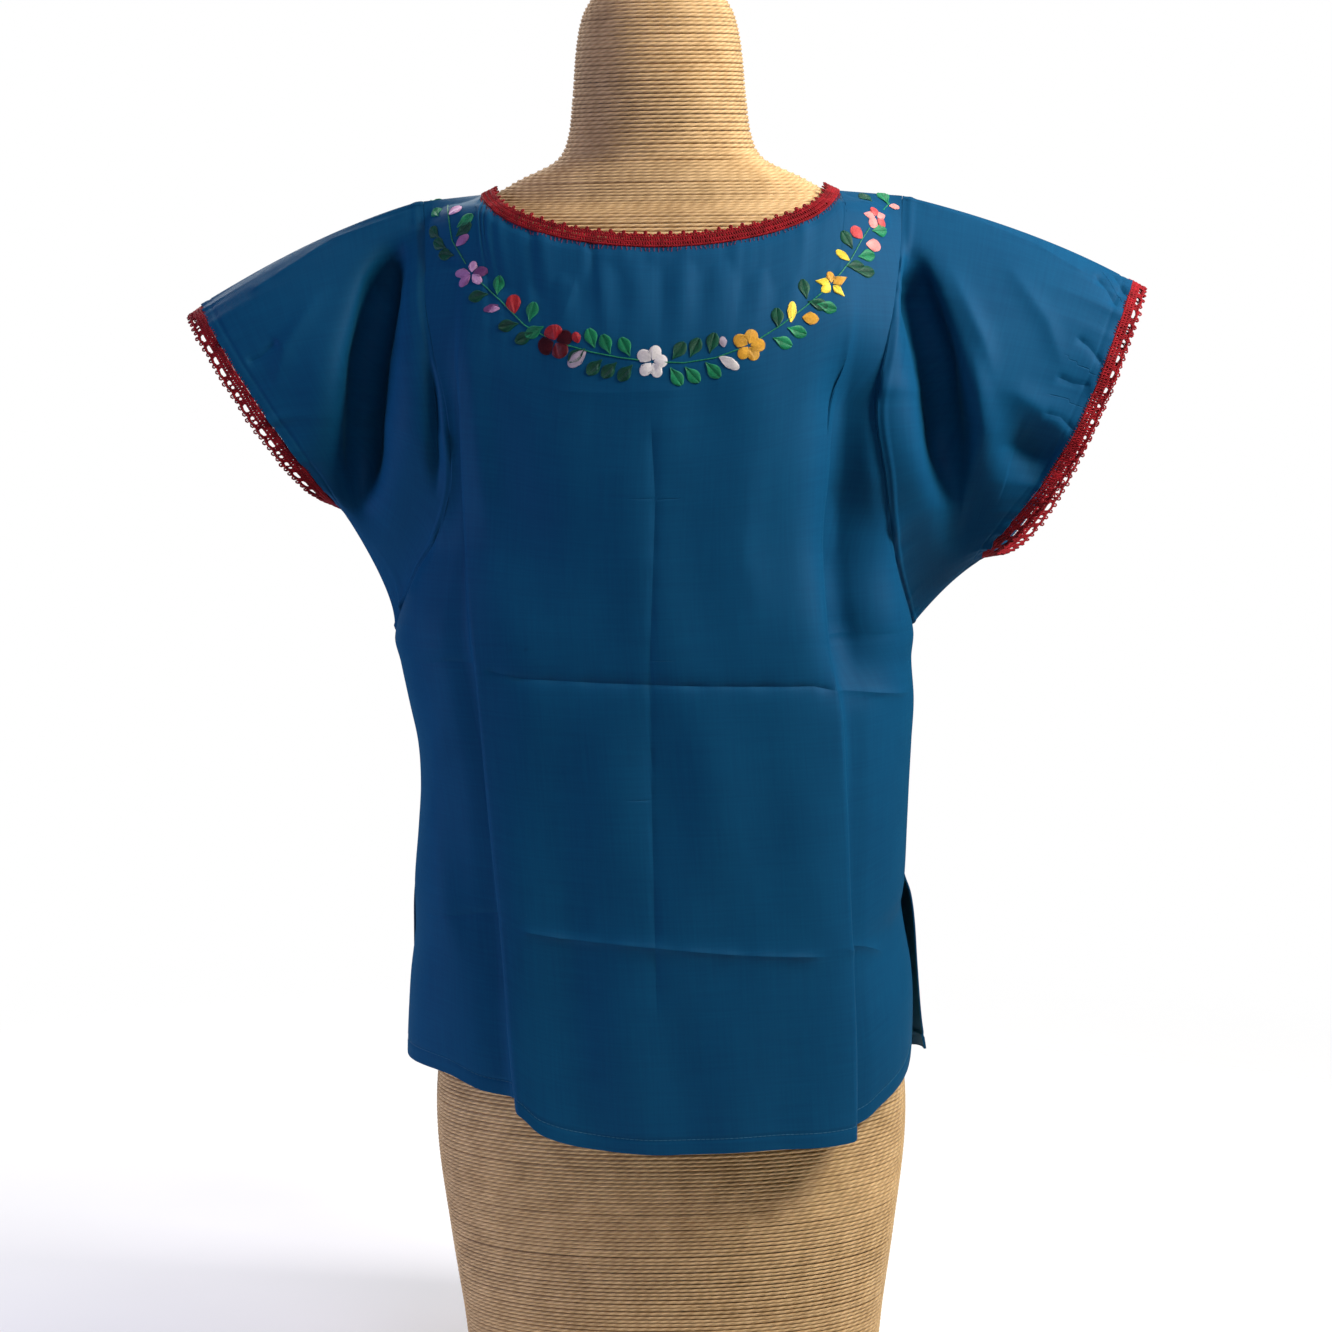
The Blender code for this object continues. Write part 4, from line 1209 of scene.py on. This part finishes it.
def makeYarn(name, lines, look, material):
    # lines is a list of arrays of points, each one a length of yarn or thread
    points = np.vstack(lines) + (0, 0, baseLevel)
    edges, start = [], 0
    for line in lines:
        steps = np.arange(start, start + len(line) - 1)
        edges.append(np.stack([steps, steps + 1], -1))
        start += len(line)
    mesh = bpy.data.meshes.new(name)
    mesh.from_pydata(points.tolist(), np.vstack(edges).tolist(), [])
    source = added(name + "_path", mesh)
    modifier = source.modifiers.new("yarn", "NODES")
    modifier.node_group = yarnTree
    setInput(modifier, "Yarn radius", look["radius"])
    setInput(modifier, "Yarn sides", look["sides"])
    setInput(modifier, "Material", material)
    graph = bpy.context.evaluated_depsgraph_get()
    finished = bpy.data.meshes.new_from_object(source.evaluated_get(graph))
    bpy.data.objects.remove(source)
    finished.name = name
    finished.shade_smooth()
    return added(name, finished)


# Twine wound round the form, in one long line for each part that shows

twineLook = {
    "radius": 0.00150, "sides": 5, "pitch": twineColours["pitch"], "sunk": 0.0013, "wander": 0.00028,
    "top": {"low": 0.715, "high": 0.9505, "steps": 72},
    "fill": {"low": 0.745, "high": 0.832, "steps": 72},  # deeper rows between the others on the shoulders
    "hips": {"low": -0.0485, "high": 0.215, "steps": 84},
}


def windTwine(part, shift=0.0, deeper=0.0):
    look = twineLook[part]
    z = np.linspace(look["low"], look["high"], 3000)
    width, depth = readTable(formTable, "halfWidth", z), readTable(formTable, "back", z)
    arc = np.r_[0, np.cumsum(np.hypot(np.diff(0.4 * width + 0.6 * depth), np.diff(z)))]
    turns = arc[-1] / twineLook["pitch"]
    count = int(turns * look["steps"])
    angle = 2 * math.pi * np.arange(count + 1) / look["steps"]
    rng = np.random.default_rng(31)
    drift = sum(
        rng.uniform(0.3, 1) * np.sin(angle * rng.uniform(0.13, 2.2) + rng.uniform(0, 6)) for _ in range(7)
    ) * twineLook["wander"] / 2
    level = np.interp((angle / (2 * math.pi) + shift) * twineLook["pitch"] + drift, arc, z)
    return seat(formRing(angle, level), -twineLook["sunk"] - deeper)


def makeTwine():
    top = [windTwine("top"), windTwine("fill", 0.5, 0.0006)]
    for name, lines in (("twine_top", top), ("twine_hips", [windTwine("hips")])):
        dressed(makeYarn(name, lines, twineLook, twineMaterial), "twine", "dress_form")


makeTwine()
print("blouse: twine wound")

# Crochet

crochetLook = {"radius": 0.00060, "sides": 5, "swing": 0.0005, "lift": 0.0004}
neckLook = {
    "repeats": 88, "rows": [0.0009, 0.0040, 0.0074], "posts": 5, "bobble": 0.00105, "bobbleAt": 0.0106,
    "arch": [(-0.50, 0.0082, 0.0004), (-0.34, 0.0096, 0.0008), (-0.15, 0.0094, 0.0004),
             (0.15, 0.0094, 0.0004), (0.34, 0.0096, 0.0008), (0.50, 0.0082, 0.0004)],
}
cuffLook = {
    "repeats": 46, "rows": [0.0004, 0.0029, 0.0054], "posts": 6, "bobble": 0.0014, "bobbleAt": 0.0106,
    "mesh": 0.0034,
}


def crochetStitch(strip, pitch, k, path):
    # path is rows of (share of the pitch, metres outward, metres off the surface)
    path = np.array(path)
    return onStrip(strip, (k + path[:, 0]) * pitch, path[:, 1], path[:, 2])


def chainRow(strip, waves, t):
    # Two yarns that snake past each other all along the strip
    length = strip["lengths"][-1]
    at = np.arange(waves * 5 + 1) / (waves * 5)
    lines = []
    for phase in (0, math.pi):
        angle = 2 * math.pi * at * waves + phase
        swing, lift = crochetLook["swing"] * np.sin(angle), crochetLook["lift"] * (1 + np.cos(angle))
        lines.append(onStrip(strip, at * length, t + swing, lift))
    return lines


def postRow(strip, pitch, k, shares, low, high, jitter):
    # Upright stitches, each with two legs that cross
    lines = []
    for share, slip in zip(shares, jitter):
        for lean, lift in ((-0.07, 0.0004), (0.07, 0.0008)):
            lines.append(crochetStitch(strip, pitch, k, [
                (share + slip + lean, low, 0.0003), (share + slip, (low + high) / 2, lift + 0.0002),
                (share + slip - lean, high, 0.0004),
            ]))
    return lines


def bobble(strip, pitch, k, share, t, radius):
    # A picot drawn up into a small round knot
    angle = np.radians(np.linspace(-130, 250, 8))
    x, y = share + radius * np.cos(angle) / pitch, t + radius * np.sin(angle)
    ring = np.stack([x, y, 0.0004 + 0.0004 * np.cos(angle / 2)], -1)
    knot = [(share - 0.5 * radius / pitch, t - 1.4 * radius, 0.0008), (share, t, 0.0011),
            (share + 0.5 * radius / pitch, t - 1.4 * radius, 0.0008)]
    return [crochetStitch(strip, pitch, k, ring), crochetStitch(strip, pitch, k, knot)]


def closeRows(strip, pitch, k, look, rng):
    # The posts between the chain rows
    lines, rows, posts = [], look["rows"], look["posts"]
    for low, high in zip(rows, rows[1:]):
        shares = (np.arange(posts) + 0.5) / posts
        lines += postRow(strip, pitch, k, shares, low, high, rng.normal(0, 0.02, posts))
    return lines


def startCrochet(strip, look, waves):
    # Its chain rows, and the length of one repeat
    pitch = strip["lengths"][-1] / look["repeats"]
    return pitch, [line for t in look["rows"] for line in chainRow(strip, look["repeats"] * waves, t)]


def makeNeckCrochet():
    strip, rows = strips["neck"], neckLook["rows"]
    pitch, lines = startCrochet(strip, neckLook, 4)
    rng = np.random.default_rng(4)
    for k in range(neckLook["repeats"]):
        lines += closeRows(strip, pitch, k, neckLook, rng)
        middle, rise = 0.5 + rng.normal(0, 0.04), rng.normal(0, 0.00025)
        lines += postRow(strip, pitch, k, (0.18, 0.40, 0.60, 0.82), rows[-1], 0.0093, rng.normal(0, 0.02, 4))
        arch = [(middle + share, t, h) for share, t, h in neckLook["arch"]]
        lines.append(crochetStitch(strip, pitch, k, arch))
        lines += bobble(strip, pitch, k, middle, neckLook["bobbleAt"] + rise, neckLook["bobble"])
    dressed(makeYarn("neck_crochet", lines, crochetLook, crochetMaterial), "crochet", "neck_trim")


def makeCuffCrochet(name):
    strip, rows = strips[name], cuffLook["rows"]
    rim = rows[-1] + cuffLook["mesh"]
    pitch, lines = startCrochet(strip, cuffLook, 5)
    rng = np.random.default_rng(7 if name == "left" else 8)
    for k in range(cuffLook["repeats"]):
        lines += closeRows(strip, pitch, k, cuffLook, rng)
        # A cluster of posts stands between two open places, which a single leg may part
        lines += postRow(strip, pitch, k, (-0.13, 0.0, 0.13), rows[-1], rim, rng.normal(0, 0.02, 3))
        if rng.random() < 0.4:
            lines += postRow(strip, pitch, k, (0.5,), rows[-1], rim, rng.normal(0, 0.05, 1))
        arch = rim + 0.0008 + rng.normal(0, 0.0001)
        low, high = rim - 0.0002, rim + 0.0002
        for lift, shift in ((0.0002, 0.0), (0.0008, 0.0007)):
            path = [(-0.04, low), (0.18, high), (0.5, arch), (0.82, high), (1.04, low)]
            lines.append(crochetStitch(strip, pitch, k, [(share, t + shift, lift) for share, t in path]))
        for share, up in ((0.25, 0.0002), (0.75, -0.0002)):
            at = cuffLook["bobbleAt"] + up + rng.normal(0, 0.0002)
            lines += bobble(strip, pitch, k, share + rng.normal(0, 0.015), at, cuffLook["bobble"])
    piece = makeYarn("cuff_crochet_" + name, lines, crochetLook, crochetMaterial)
    dressed(piece, "crochet", f"cuff_{name}_back", f"cuff_{name}_front")


makeNeckCrochet()
for name in sleeves:
    makeCuffCrochet(name)
print("blouse: crochet made")

# Embroidery: satin stitches laid side by side on the cloth

threadLook = {"radius": 0.00027, "sides": 4, "pitch": 0.00045, "lift": 0.00010, "hump": 0.00042}
threadColours = {
    "leaf_light": ((0.006, 0.120, 0.052), (0.018, 0.290, 0.125)),
    "leaf_dark": ((0.002, 0.030, 0.020), (0.008, 0.115, 0.058)),
    "white": ((0.62, 0.60, 0.60), (0.90, 0.88, 0.87)),
    "red": ((0.26, 0.008, 0.014), (0.50, 0.022, 0.030)),
    "wine": ((0.085, 0.004, 0.008), (0.190, 0.010, 0.016)),
    "maroon": ((0.022, 0.002, 0.006), (0.065, 0.006, 0.012)),
    "pink": ((0.50, 0.24, 0.44), (0.80, 0.50, 0.70)),
    "mauve": ((0.27, 0.105, 0.26), (0.46, 0.22, 0.45)),
    "plum": ((0.12, 0.035, 0.12), (0.25, 0.09, 0.24)),
    "grey_mauve": ((0.30, 0.25, 0.32), (0.52, 0.45, 0.54)),
    "gold": ((0.42, 0.20, 0.012), (0.78, 0.44, 0.06)),
    "yellow": ((0.70, 0.50, 0.03), (0.95, 0.80, 0.10)),
    "coral": ((0.60, 0.18, 0.18), (0.88, 0.36, 0.34)),
    "coral_red": ((0.50, 0.05, 0.06), (0.72, 0.12, 0.12)),
}


def makeThreadMaterial(name, colours):
    look = {"roughness": 0.42, "specular": 0.25}
    material, tree, shader = newMaterial("satin_" + name, look)
    place = tree.nodes.new("ShaderNodeTexCoord").outputs["Object"]
    fine = noiseOf(tree, place, 900.0)
    tone = calc(tree, "ADD", fine, patchesOf(tree, 90))
    paint(tree, shader, calc(tree, "SUBTRACT", tone, 0.5), *colours)
    emboss(tree, shader, fine, 0.0001, 0.5)
    return material


threadMaterials = {name: makeThreadMaterial(name, colours) for name, colours in threadColours.items()}

# The garland on the back, in millimetres as (x, z); the front's hangs lower at its middle
garlandStem = np.array([
    (-149, 797), (-145, 773), (-131, 750), (-111, 732), (-94, 715), (-73, 704),
    (-49, 697), (-29, 693), (-7, 690), (15, 689), (36, 692), (59, 700),
    (81, 713), (98, 725), (117, 740), (130, 755), (139, 770), (150, 785), (161, 795),
]) / 1000
frontDrop = 0.037
# Each flower: place, then each petal's angle, length, width, how pointed it is, and thread
flowers = [
    ((-131, 750), [(90, 9.5, 6.5, 0, "pink"), (12, 12, 8, 0, "plum"), (-38, 11.5, 6.5, 0, "pink"),
                   (-128, 12, 7.5, 0, "mauve"), (176, 13.5, 7, 0, "mauve")]),
    ((-73, 704), [(105, 12, 13, 0, "red"), (22, 12.5, 11, 0, "maroon"), (-58, 12.5, 12, 0, "wine"),
                  (-155, 12.5, 13, 0, "maroon")]),
    ((-7, 690), [(72, 11.5, 8.5, 0, "white"), (4, 10.5, 9, 0, "white"), (-66, 11.5, 8, 0, "white"),
                 (-130, 11.5, 8, 0, "white"), (144, 11.5, 9, 0, "white")]),
    ((59, 700), [(72, 11.5, 9.5, 0, "gold"), (2, 11.5, 9.5, 0, "gold"), (-66, 11, 9, 0, "gold"),
                 (-128, 11, 8, 0, "gold"), (150, 11.5, 9.5, 0, "gold")]),
    ((117, 740), [(92, 9.5, 6, 0, "gold"), (24, 13, 7, 0.6, "gold"), (-48, 12.5, 6, 0.7, "yellow"),
                  (-146, 10, 7, 0.3, "yellow"), (166, 12, 6.5, 0.7, "yellow")]),
    ((150, 785), [(160, 11, 6.5, 0.5, "coral"), (-140, 10, 8, 0, "coral"), (-50, 9.5, 8, 0, "coral_red"),
                  (12, 11, 6.5, 0.5, "coral"), (84, 9, 7, 0, "coral_red")]),
]
# Each bud: its narrow end's place, the angle it points to, then as a petal
buds = [
    ((-147.5, 790.5), 55, 11, 10, 0, "pink"), ((-142, 769), 42, 12, 6.5, 0, "mauve"),
    ((-101, 723), 100, 14, 10.5, 0, "red"), ((-112, 728.5), -160, 11, 5, 0, "plum"),
    ((-111, 726.5), -178, 10, 4.5, 0, "pink"), ((-57, 703), 112, 8, 6, 0, "red"),
    ((-52, 698), -138, 16, 9, 0, "grey_mauve"), ((42, 699), 98, 7.5, 5, 0, "grey_mauve"),
    ((38.5, 693), -32, 16, 7, 0, "white"), ((88, 715), 78, 15, 6.5, 0, "yellow"),
    ((96, 718), -8, 12, 9, 0.2, "gold"), ((130, 756), 142, 12, 5.5, 0, "yellow"),
    ((139.5, 771), 132, 11, 9, 0, "coral_red"), ((142, 767), -8, 13, 9, 0, "coral"),
    ((160, 793), -14, 8, 4.5, 0, "coral"),
]
leaves = {
    "leaf_light": [
        (-136, 786), (-112, 742), (-89, 724), (-87, 711), (-48, 706), (-38, 702),
        (-25, 700), (9, 680), (20, 681), (34, 684), (82, 702), (92, 709),
        (113, 725), (142, 759), (152, 776), (-157, 792), (157, 799),
    ],
    "leaf_dark": [
        (-158, 778), (-137, 780), (-149, 763), (-154, 770), (-126, 735), (-105, 715),
        (-94, 707), (-58, 695), (-46, 687), (-36, 685), (-25, 683), (11, 697),
        (22, 699), (34, 702), (79, 718), (98, 737), (107, 727), (134, 752),
        (129, 770), (144, 798), (141, 748),
    ],
}
leafLook = {"length": 14.5, "width": 8.8}
stemLook = {"step": 0.0026, "length": 0.0044, "slant": 0.00022, "hump": 0.00035, "clear": 0.0085}


def surfaceOf(face):
    outer = panels[face]["outer"]
    _, quads = gridFaces(*outer.shape[:2])
    return BVHTree.FromPolygons(outer.reshape(-1, 3).tolist(), quads.tolist())


surfaces = {face: surfaceOf(face) for face in faceSign}


def placeOn(face, x, z):
    # The point of a panel behind (x, z) as seen from outside, and a frame on it
    if face == "front":
        z = z - frontDrop * float(smooth((0.800 - z) / 0.110))
    sign = faceSign[face]
    hit, normal, _, _ = surfaces[face].ray_cast(Vector((x, sign * 0.4, z)), Vector((0, -sign, 0)))
    if hit is None:
        hit, normal, _, _ = surfaces[face].find_nearest(Vector((x, sign * 0.03, z)))
    normal = np.array(normal)
    up = np.array([0, 0, 1.0]) - normal * normal[2]
    if abs(normal[2]) > 0.9:
        up = np.array([0, -sign, 0.0]) - normal * (-sign * normal[1])
    up = unit(up)
    right = np.cross(up, normal) * -sign
    return np.array(hit), right, up


def offCloth(face, point, height):
    hit, normal, _, _ = surfaces[face].find_nearest(Vector(point))
    return np.array(hit) + np.array(normal) * height


def layThreads(face, spot, strands):
    # strands holds points as (right, up, height) in metres from the spot
    at, right, up = spot
    flat = at + strands[..., :1] * right + strands[..., 1:2] * up
    for line, heights in zip(flat, strands[..., 2]):
        for k, height in enumerate(heights):
            line[k] = offCloth(face, line[k], threadLook["lift"] + height)
    return list(flat)


def turned(p, q, height, angle):
    c, s = math.cos(math.radians(angle)), math.sin(math.radians(angle))
    return np.stack([p * c - q * s, p * s + q * c, height + 0 * p], -1)


hump = np.array([0.0, 0.9, 1.0, 0.0]) * threadLook["hump"]


def petalStrands(angle, length, width, point, start=0.0012):
    # Stitches from the flower's middle out to the petal's rim
    length, width = length / 1000, width / 1000
    count = max(5, int(width * 1.12 / threadLook["pitch"]))
    t = np.linspace(-1, 1, count)
    rim = length * mix(0.60 + 0.40 * np.sqrt(1 - 0.98 * t**2), 1 - 0.55 * abs(t) ** 0.9, point)
    share = np.array([0.0, 0.35, 0.75, 1.0])
    p = mix(start * (1 + 0.4 * abs(t)), rim, share[:, None]).T
    q = (width / 2 * t)[:, None] * np.array([0.10, 0.62, 0.98, 0.94 - 0.25 * point])
    return turned(p, q, hump, angle)


def leafStrands(angle, length, width):
    # Slanted stitches from the midrib to either edge
    length, width = length / 1000, width / 1000
    count = int(length / threadLook["pitch"] * 0.92)
    s = (np.arange(count) + 0.5) / count
    half = width / 2 * np.sin(math.pi * np.clip(0.06 + 0.90 * s, 0, 1)) ** 0.75
    share = np.array([0.0, 0.4, 0.8, 1.0])
    groups = []
    for side in (-1, 1):
        p = (s * length)[:, None] + (0.26 * length * (1 - s))[:, None] * share - length / 2
        q = side * (half[:, None] * share + 0.00008)
        groups.append(turned(p, q, hump, angle))
    return np.concatenate(groups)


def nearStem(x, z):
    best = (1e9, None, None)
    for start, end in zip(garlandStem, garlandStem[1:]):
        way = end - start
        t = np.clip(np.dot((x, z) - start, way) / np.dot(way, way), 0, 1)
        spot = start + way * t
        gap = np.hypot(*(np.array((x, z)) - spot))
        if gap < best[0]:
            best = (gap, spot, way / np.hypot(*way))
    return best[1], best[2]


def stemStitches(face):
    # Short stitches that overlap along the stem
    lengths = runOf(garlandStem)
    lines = []
    for start in np.arange(0, lengths[-1] - 0.004, stemLook["step"]):
        for beside in (-stemLook["slant"], stemLook["slant"]):
            at = start + stemLook["length"] * np.array([0, 0.5, 1])
            ends = pointAlong(at, lengths, garlandStem)
            if min(np.hypot(*(ends[1] - np.array(spot) / 1000)) for spot, _ in flowers) < stemLook["clear"]:
                continue
            way = unit(ends[2] - ends[0])
            across = np.array([-way[1], way[0]])
            line = []
            for k, end in enumerate(ends):
                hit, right, up = placeOn(face, *(end + across * beside * (k - 1)))
                normal = np.cross(right, up) * -faceSign[face]
                line.append(hit + normal * (threadLook["lift"] + (0, stemLook["hump"], 0)[k]))
            lines.append(np.array(line))
    return lines


def onFace(face, spot):
    # In metres, and the other way round on the front
    return (-spot[0] if face == "front" else spot[0]) / 1000, spot[1] / 1000


def embroider(face):
    lines = {name: [] for name in threadColours}
    for spot, petals in flowers:
        at = placeOn(face, *onFace(face, spot))
        for angle, length, width, point, thread in petals:
            lines[thread] += layThreads(face, at, petalStrands(angle, length, width, point))
    for spot, angle, length, width, point, thread in buds:
        strands = petalStrands(180 - angle if face == "front" else angle, length, width, point, 0.0002)
        lines[thread] += layThreads(face, placeOn(face, *onFace(face, spot)), strands)
    for thread, spots in leaves.items():
        for spot in spots:
            x, z = onFace(face, spot)
            stem, way = nearStem(x, z)
            outward = unit(np.array((x, z)) - stem)
            away = way * (1 if x > -0.007 else -1)
            heading = outward * 0.80 + away * 0.55
            angle = math.degrees(math.atan2(heading[1], heading[0]))
            strands = leafStrands(angle, leafLook["length"], leafLook["width"])
            lines[thread] += layThreads(face, placeOn(face, x, z), strands)
    lines["leaf_light"] += stemStitches(face)
    for thread, laid in lines.items():
        dressed(makeYarn(f"embroidery_{face}_{thread}", laid, threadLook, threadMaterials[thread]), "cloth")


for face in faceSign:
    embroider(face)
print("blouse: embroidery made")

# Sewing: the hems' running stitches, and the red ones that hold the edgings

sewingLook = {"hem": 0.0025, "gap": 0.0008, "radius": 0.00020, "sides": 4, "whip": 0.0022}
sewingMaterial = makeThreadMaterial("teal", ((0.012, 0.09, 0.17), (0.03, 0.17, 0.30)))


def runningStitches(points, normals):
    lengths = runOf(points)
    lines = []
    for start in np.arange(0.002, lengths[-1] - 0.004, sewingLook["hem"] + sewingLook["gap"]):
        at = start + sewingLook["hem"] * np.array([0, 0.15, 0.85, 1])
        height = np.array([-0.0001, 0.00022, 0.00022, -0.0001])[:, None]
        lines.append(pointAlong(at, lengths, points) + pointAlong(at, lengths, normals) * height)
    return lines


def alongHem(face):
    outer, normals, rise = (panels[face][name] for name in ("outer", "normals", "rise"))
    picked = []
    for column in range(outer.shape[1]):
        place = np.interp(hemLook["depth"], rise[:, column], np.arange(len(rise)))
        low, share = int(place), place - int(place)
        picked.append(np.concatenate([
            mix(outer[low, column], outer[low + 1, column], share), normals[low, column]
        ]))
    picked = np.array(picked)
    return picked[:, :3], picked[:, 3:]


def whipStitches(strip, low, high):
    # Slanted stitches over the join between an edging and the cloth
    count = int(strip["lengths"][-1] / sewingLook["whip"])
    s = np.arange(count) / count * strip["lengths"][-1]
    rng = np.random.default_rng(17)
    lines = []
    for k in range(count):
        at = s[k] + rng.normal(0, 0.0003) + np.array([0.0, 0.0002, 0.0007, 0.0009])
        t = np.array([low, low + 0.0006, high - 0.0006, high]) + rng.normal(0, 0.0002)
        lines.append(onStrip(strip, at, t, np.array([0.0005, 0.0010, 0.0010, 0.0004])))
    return lines


def neckPricks(face):
    # Stitches that reach down from the neck edging into the cloth
    rng = np.random.default_rng(19)
    lines = []
    for t in np.linspace(-0.99, 0.99, 108):
        top = neckline(face, np.array(t + rng.normal(0, 0.001)))
        below = panelPoint(face, np.array(t + rng.normal(0, 0.004)), np.array(2 - rng.uniform(0.008, 0.013)))
        steps = ((0, 0.0006), (0.3, 0.0006), (0.8, 0.0004), (1, 0.0))
        lines.append(np.array([offCloth(face, mix(top, below, share), height) for share, height in steps]))
    return lines


for face in faceSign:
    lines = runningStitches(*alongHem(face))
    dressed(makeYarn("hem_stitches_" + face, lines, sewingLook, sewingMaterial), "cloth")
lines = neckPricks("back") + neckPricks("front")
dressed(makeYarn("neck_stitches", lines, sewingLook, crochetMaterial), "crochet")
for name in sleeves:
    lines = whipStitches(strips[name], -0.0019, 0.0014)
    dressed(makeYarn("cuff_stitches_" + name, lines, sewingLook, crochetMaterial), "crochet")
print("blouse: sewing made")

# Camera, lights and floor

cameraLook = {"at": (0.0, -2.56, 0.85), "aim": (0.0, -0.06, 0.5253), "lens": 97.3, "sensor": 36, "roll": 0.68}


def aimed(name, data, place, aim, roll=0.0):
    # A camera or a light that looks from its place at its aim, rolled by some degrees
    holder = added(name, data)
    ahead = unit(np.array(aim, float) - np.array(place, float))
    right = unit(np.cross(ahead, [0, 0, 1]))
    up = np.cross(right, ahead)
    c, s = math.cos(math.radians(roll)), math.sin(math.radians(roll))
    matrix = np.eye(4)
    for column, way in enumerate((right * c - up * s, up * c + right * s, -ahead, place)):
        matrix[:3, column] = way
    holder.matrix_world = Matrix(matrix.tolist())
    return holder


def makeCamera():
    camera = bpy.data.cameras.new("photoView")
    camera.sensor_width = cameraLook["sensor"]
    camera.lens = cameraLook["lens"]
    bpy.context.scene.camera = aimed(
        "photoView", camera, cameraLook["at"], cameraLook["aim"], cameraLook["roll"]
    )


def makeLight(name, look):
    light = bpy.data.lights.new(name, "AREA")
    light.shape = "SQUARE"
    light.size = look["size"]
    light.energy = look["power"]
    light.color = look["colour"]
    aimed(name, light, look["at"], lights["aim"])


floorLook = {
    "half": 1.4, "fadeFrom": 0.35, "roughness": 0.9, "dark": (0.86, 0.86, 0.86), "light": (0.9, 0.9, 0.9),
}


def makeFloor():
    # It fades out into the white room before its edges
    half = floorLook["half"]
    points = [(x * half, y * half, -baseLevel) for x, y in ((-1, -1), (1, -1), (1, 1), (-1, 1))]
    material, tree, shader = newMaterial("paleFloor", floorLook)
    paint(tree, shader, patchesOf(tree, 6), floorLook["dark"], floorLook["light"])
    away = tree.nodes.new("ShaderNodeVectorMath")
    away.operation = "LENGTH"
    tree.links.new(tree.nodes.new("ShaderNodeTexCoord").outputs["Object"], away.inputs[0])
    fade = tree.nodes.new("ShaderNodeMapRange")
    fade.interpolation_type = "SMOOTHSTEP"
    limits = {"From Min": floorLook["fadeFrom"], "From Max": half, "To Min": 1, "To Max": 0}
    for name, value in limits.items():
        fade.inputs[name].default_value = value
    tree.links.new(away.outputs["Value"], fade.inputs["Value"])
    tree.links.new(fade.outputs["Result"], shader.inputs["Alpha"])
    floor = makeObject("floor", points, [(0, 1, 2, 3)], material)


def makeWorld():
    # A white room behind, and a much weaker bluish light from all round
    world = bpy.data.worlds.new("studio")
    world.use_nodes = True
    tree = world.node_tree
    seen = tree.nodes["Background"]
    seen.inputs["Color"].default_value = (1, 1, 1, 1)
    lit = tree.nodes.new("ShaderNodeBackground")
    lit.inputs["Color"].default_value = (*lights["room"]["colour"], 1)
    lit.inputs["Strength"].default_value = lights["room"]["strength"]
    choose = tree.nodes.new("ShaderNodeMixShader")
    tree.links.new(tree.nodes.new("ShaderNodeLightPath").outputs["Is Camera Ray"], choose.inputs[0])
    tree.links.new(lit.outputs[0], choose.inputs[1])
    tree.links.new(seen.outputs[0], choose.inputs[2])
    tree.links.new(choose.outputs[0], tree.nodes["World Output"].inputs["Surface"])
    bpy.context.scene.world = world


lights = {
    "aim": (0, 0, 0.65),
    "key": {"at": (1.30, -0.35, 1.35), "size": 0.30, "power": 19, "colour": (1.0, 0.95, 0.97)},
    "side": {"at": (0.95, -0.50, 1.45), "size": 0.25, "power": 14.5, "colour": (1.0, 0.96, 0.80)},
    "above": {"at": (0.10, -0.90, 1.70), "size": 0.5, "power": 4, "colour": (0.95, 0.80, 1.0)},
    "fill": {"at": (-1.50, -0.40, 0.60), "size": 0.6, "power": 12, "colour": (0.62, 0.64, 1.0)},
    "high": {"at": (0.4, 0.6, 2.8), "size": 1.8, "power": 20, "colour": (1.0, 0.99, 0.97)},
    "front": {"at": (-0.9, 1.8, 1.9), "size": 1.6, "power": 50, "colour": (1.0, 0.98, 0.95)},
    "room": {"strength": 0.02, "colour": (0.66, 0.80, 1.0)},
}
makeCamera()
for name in ("key", "side", "above", "fill", "high", "front"):
    makeLight(name + "Light", lights[name])
makeFloor()
makeWorld()
bpy.context.scene.view_settings.view_transform = "Standard"

print("blouse: finished")
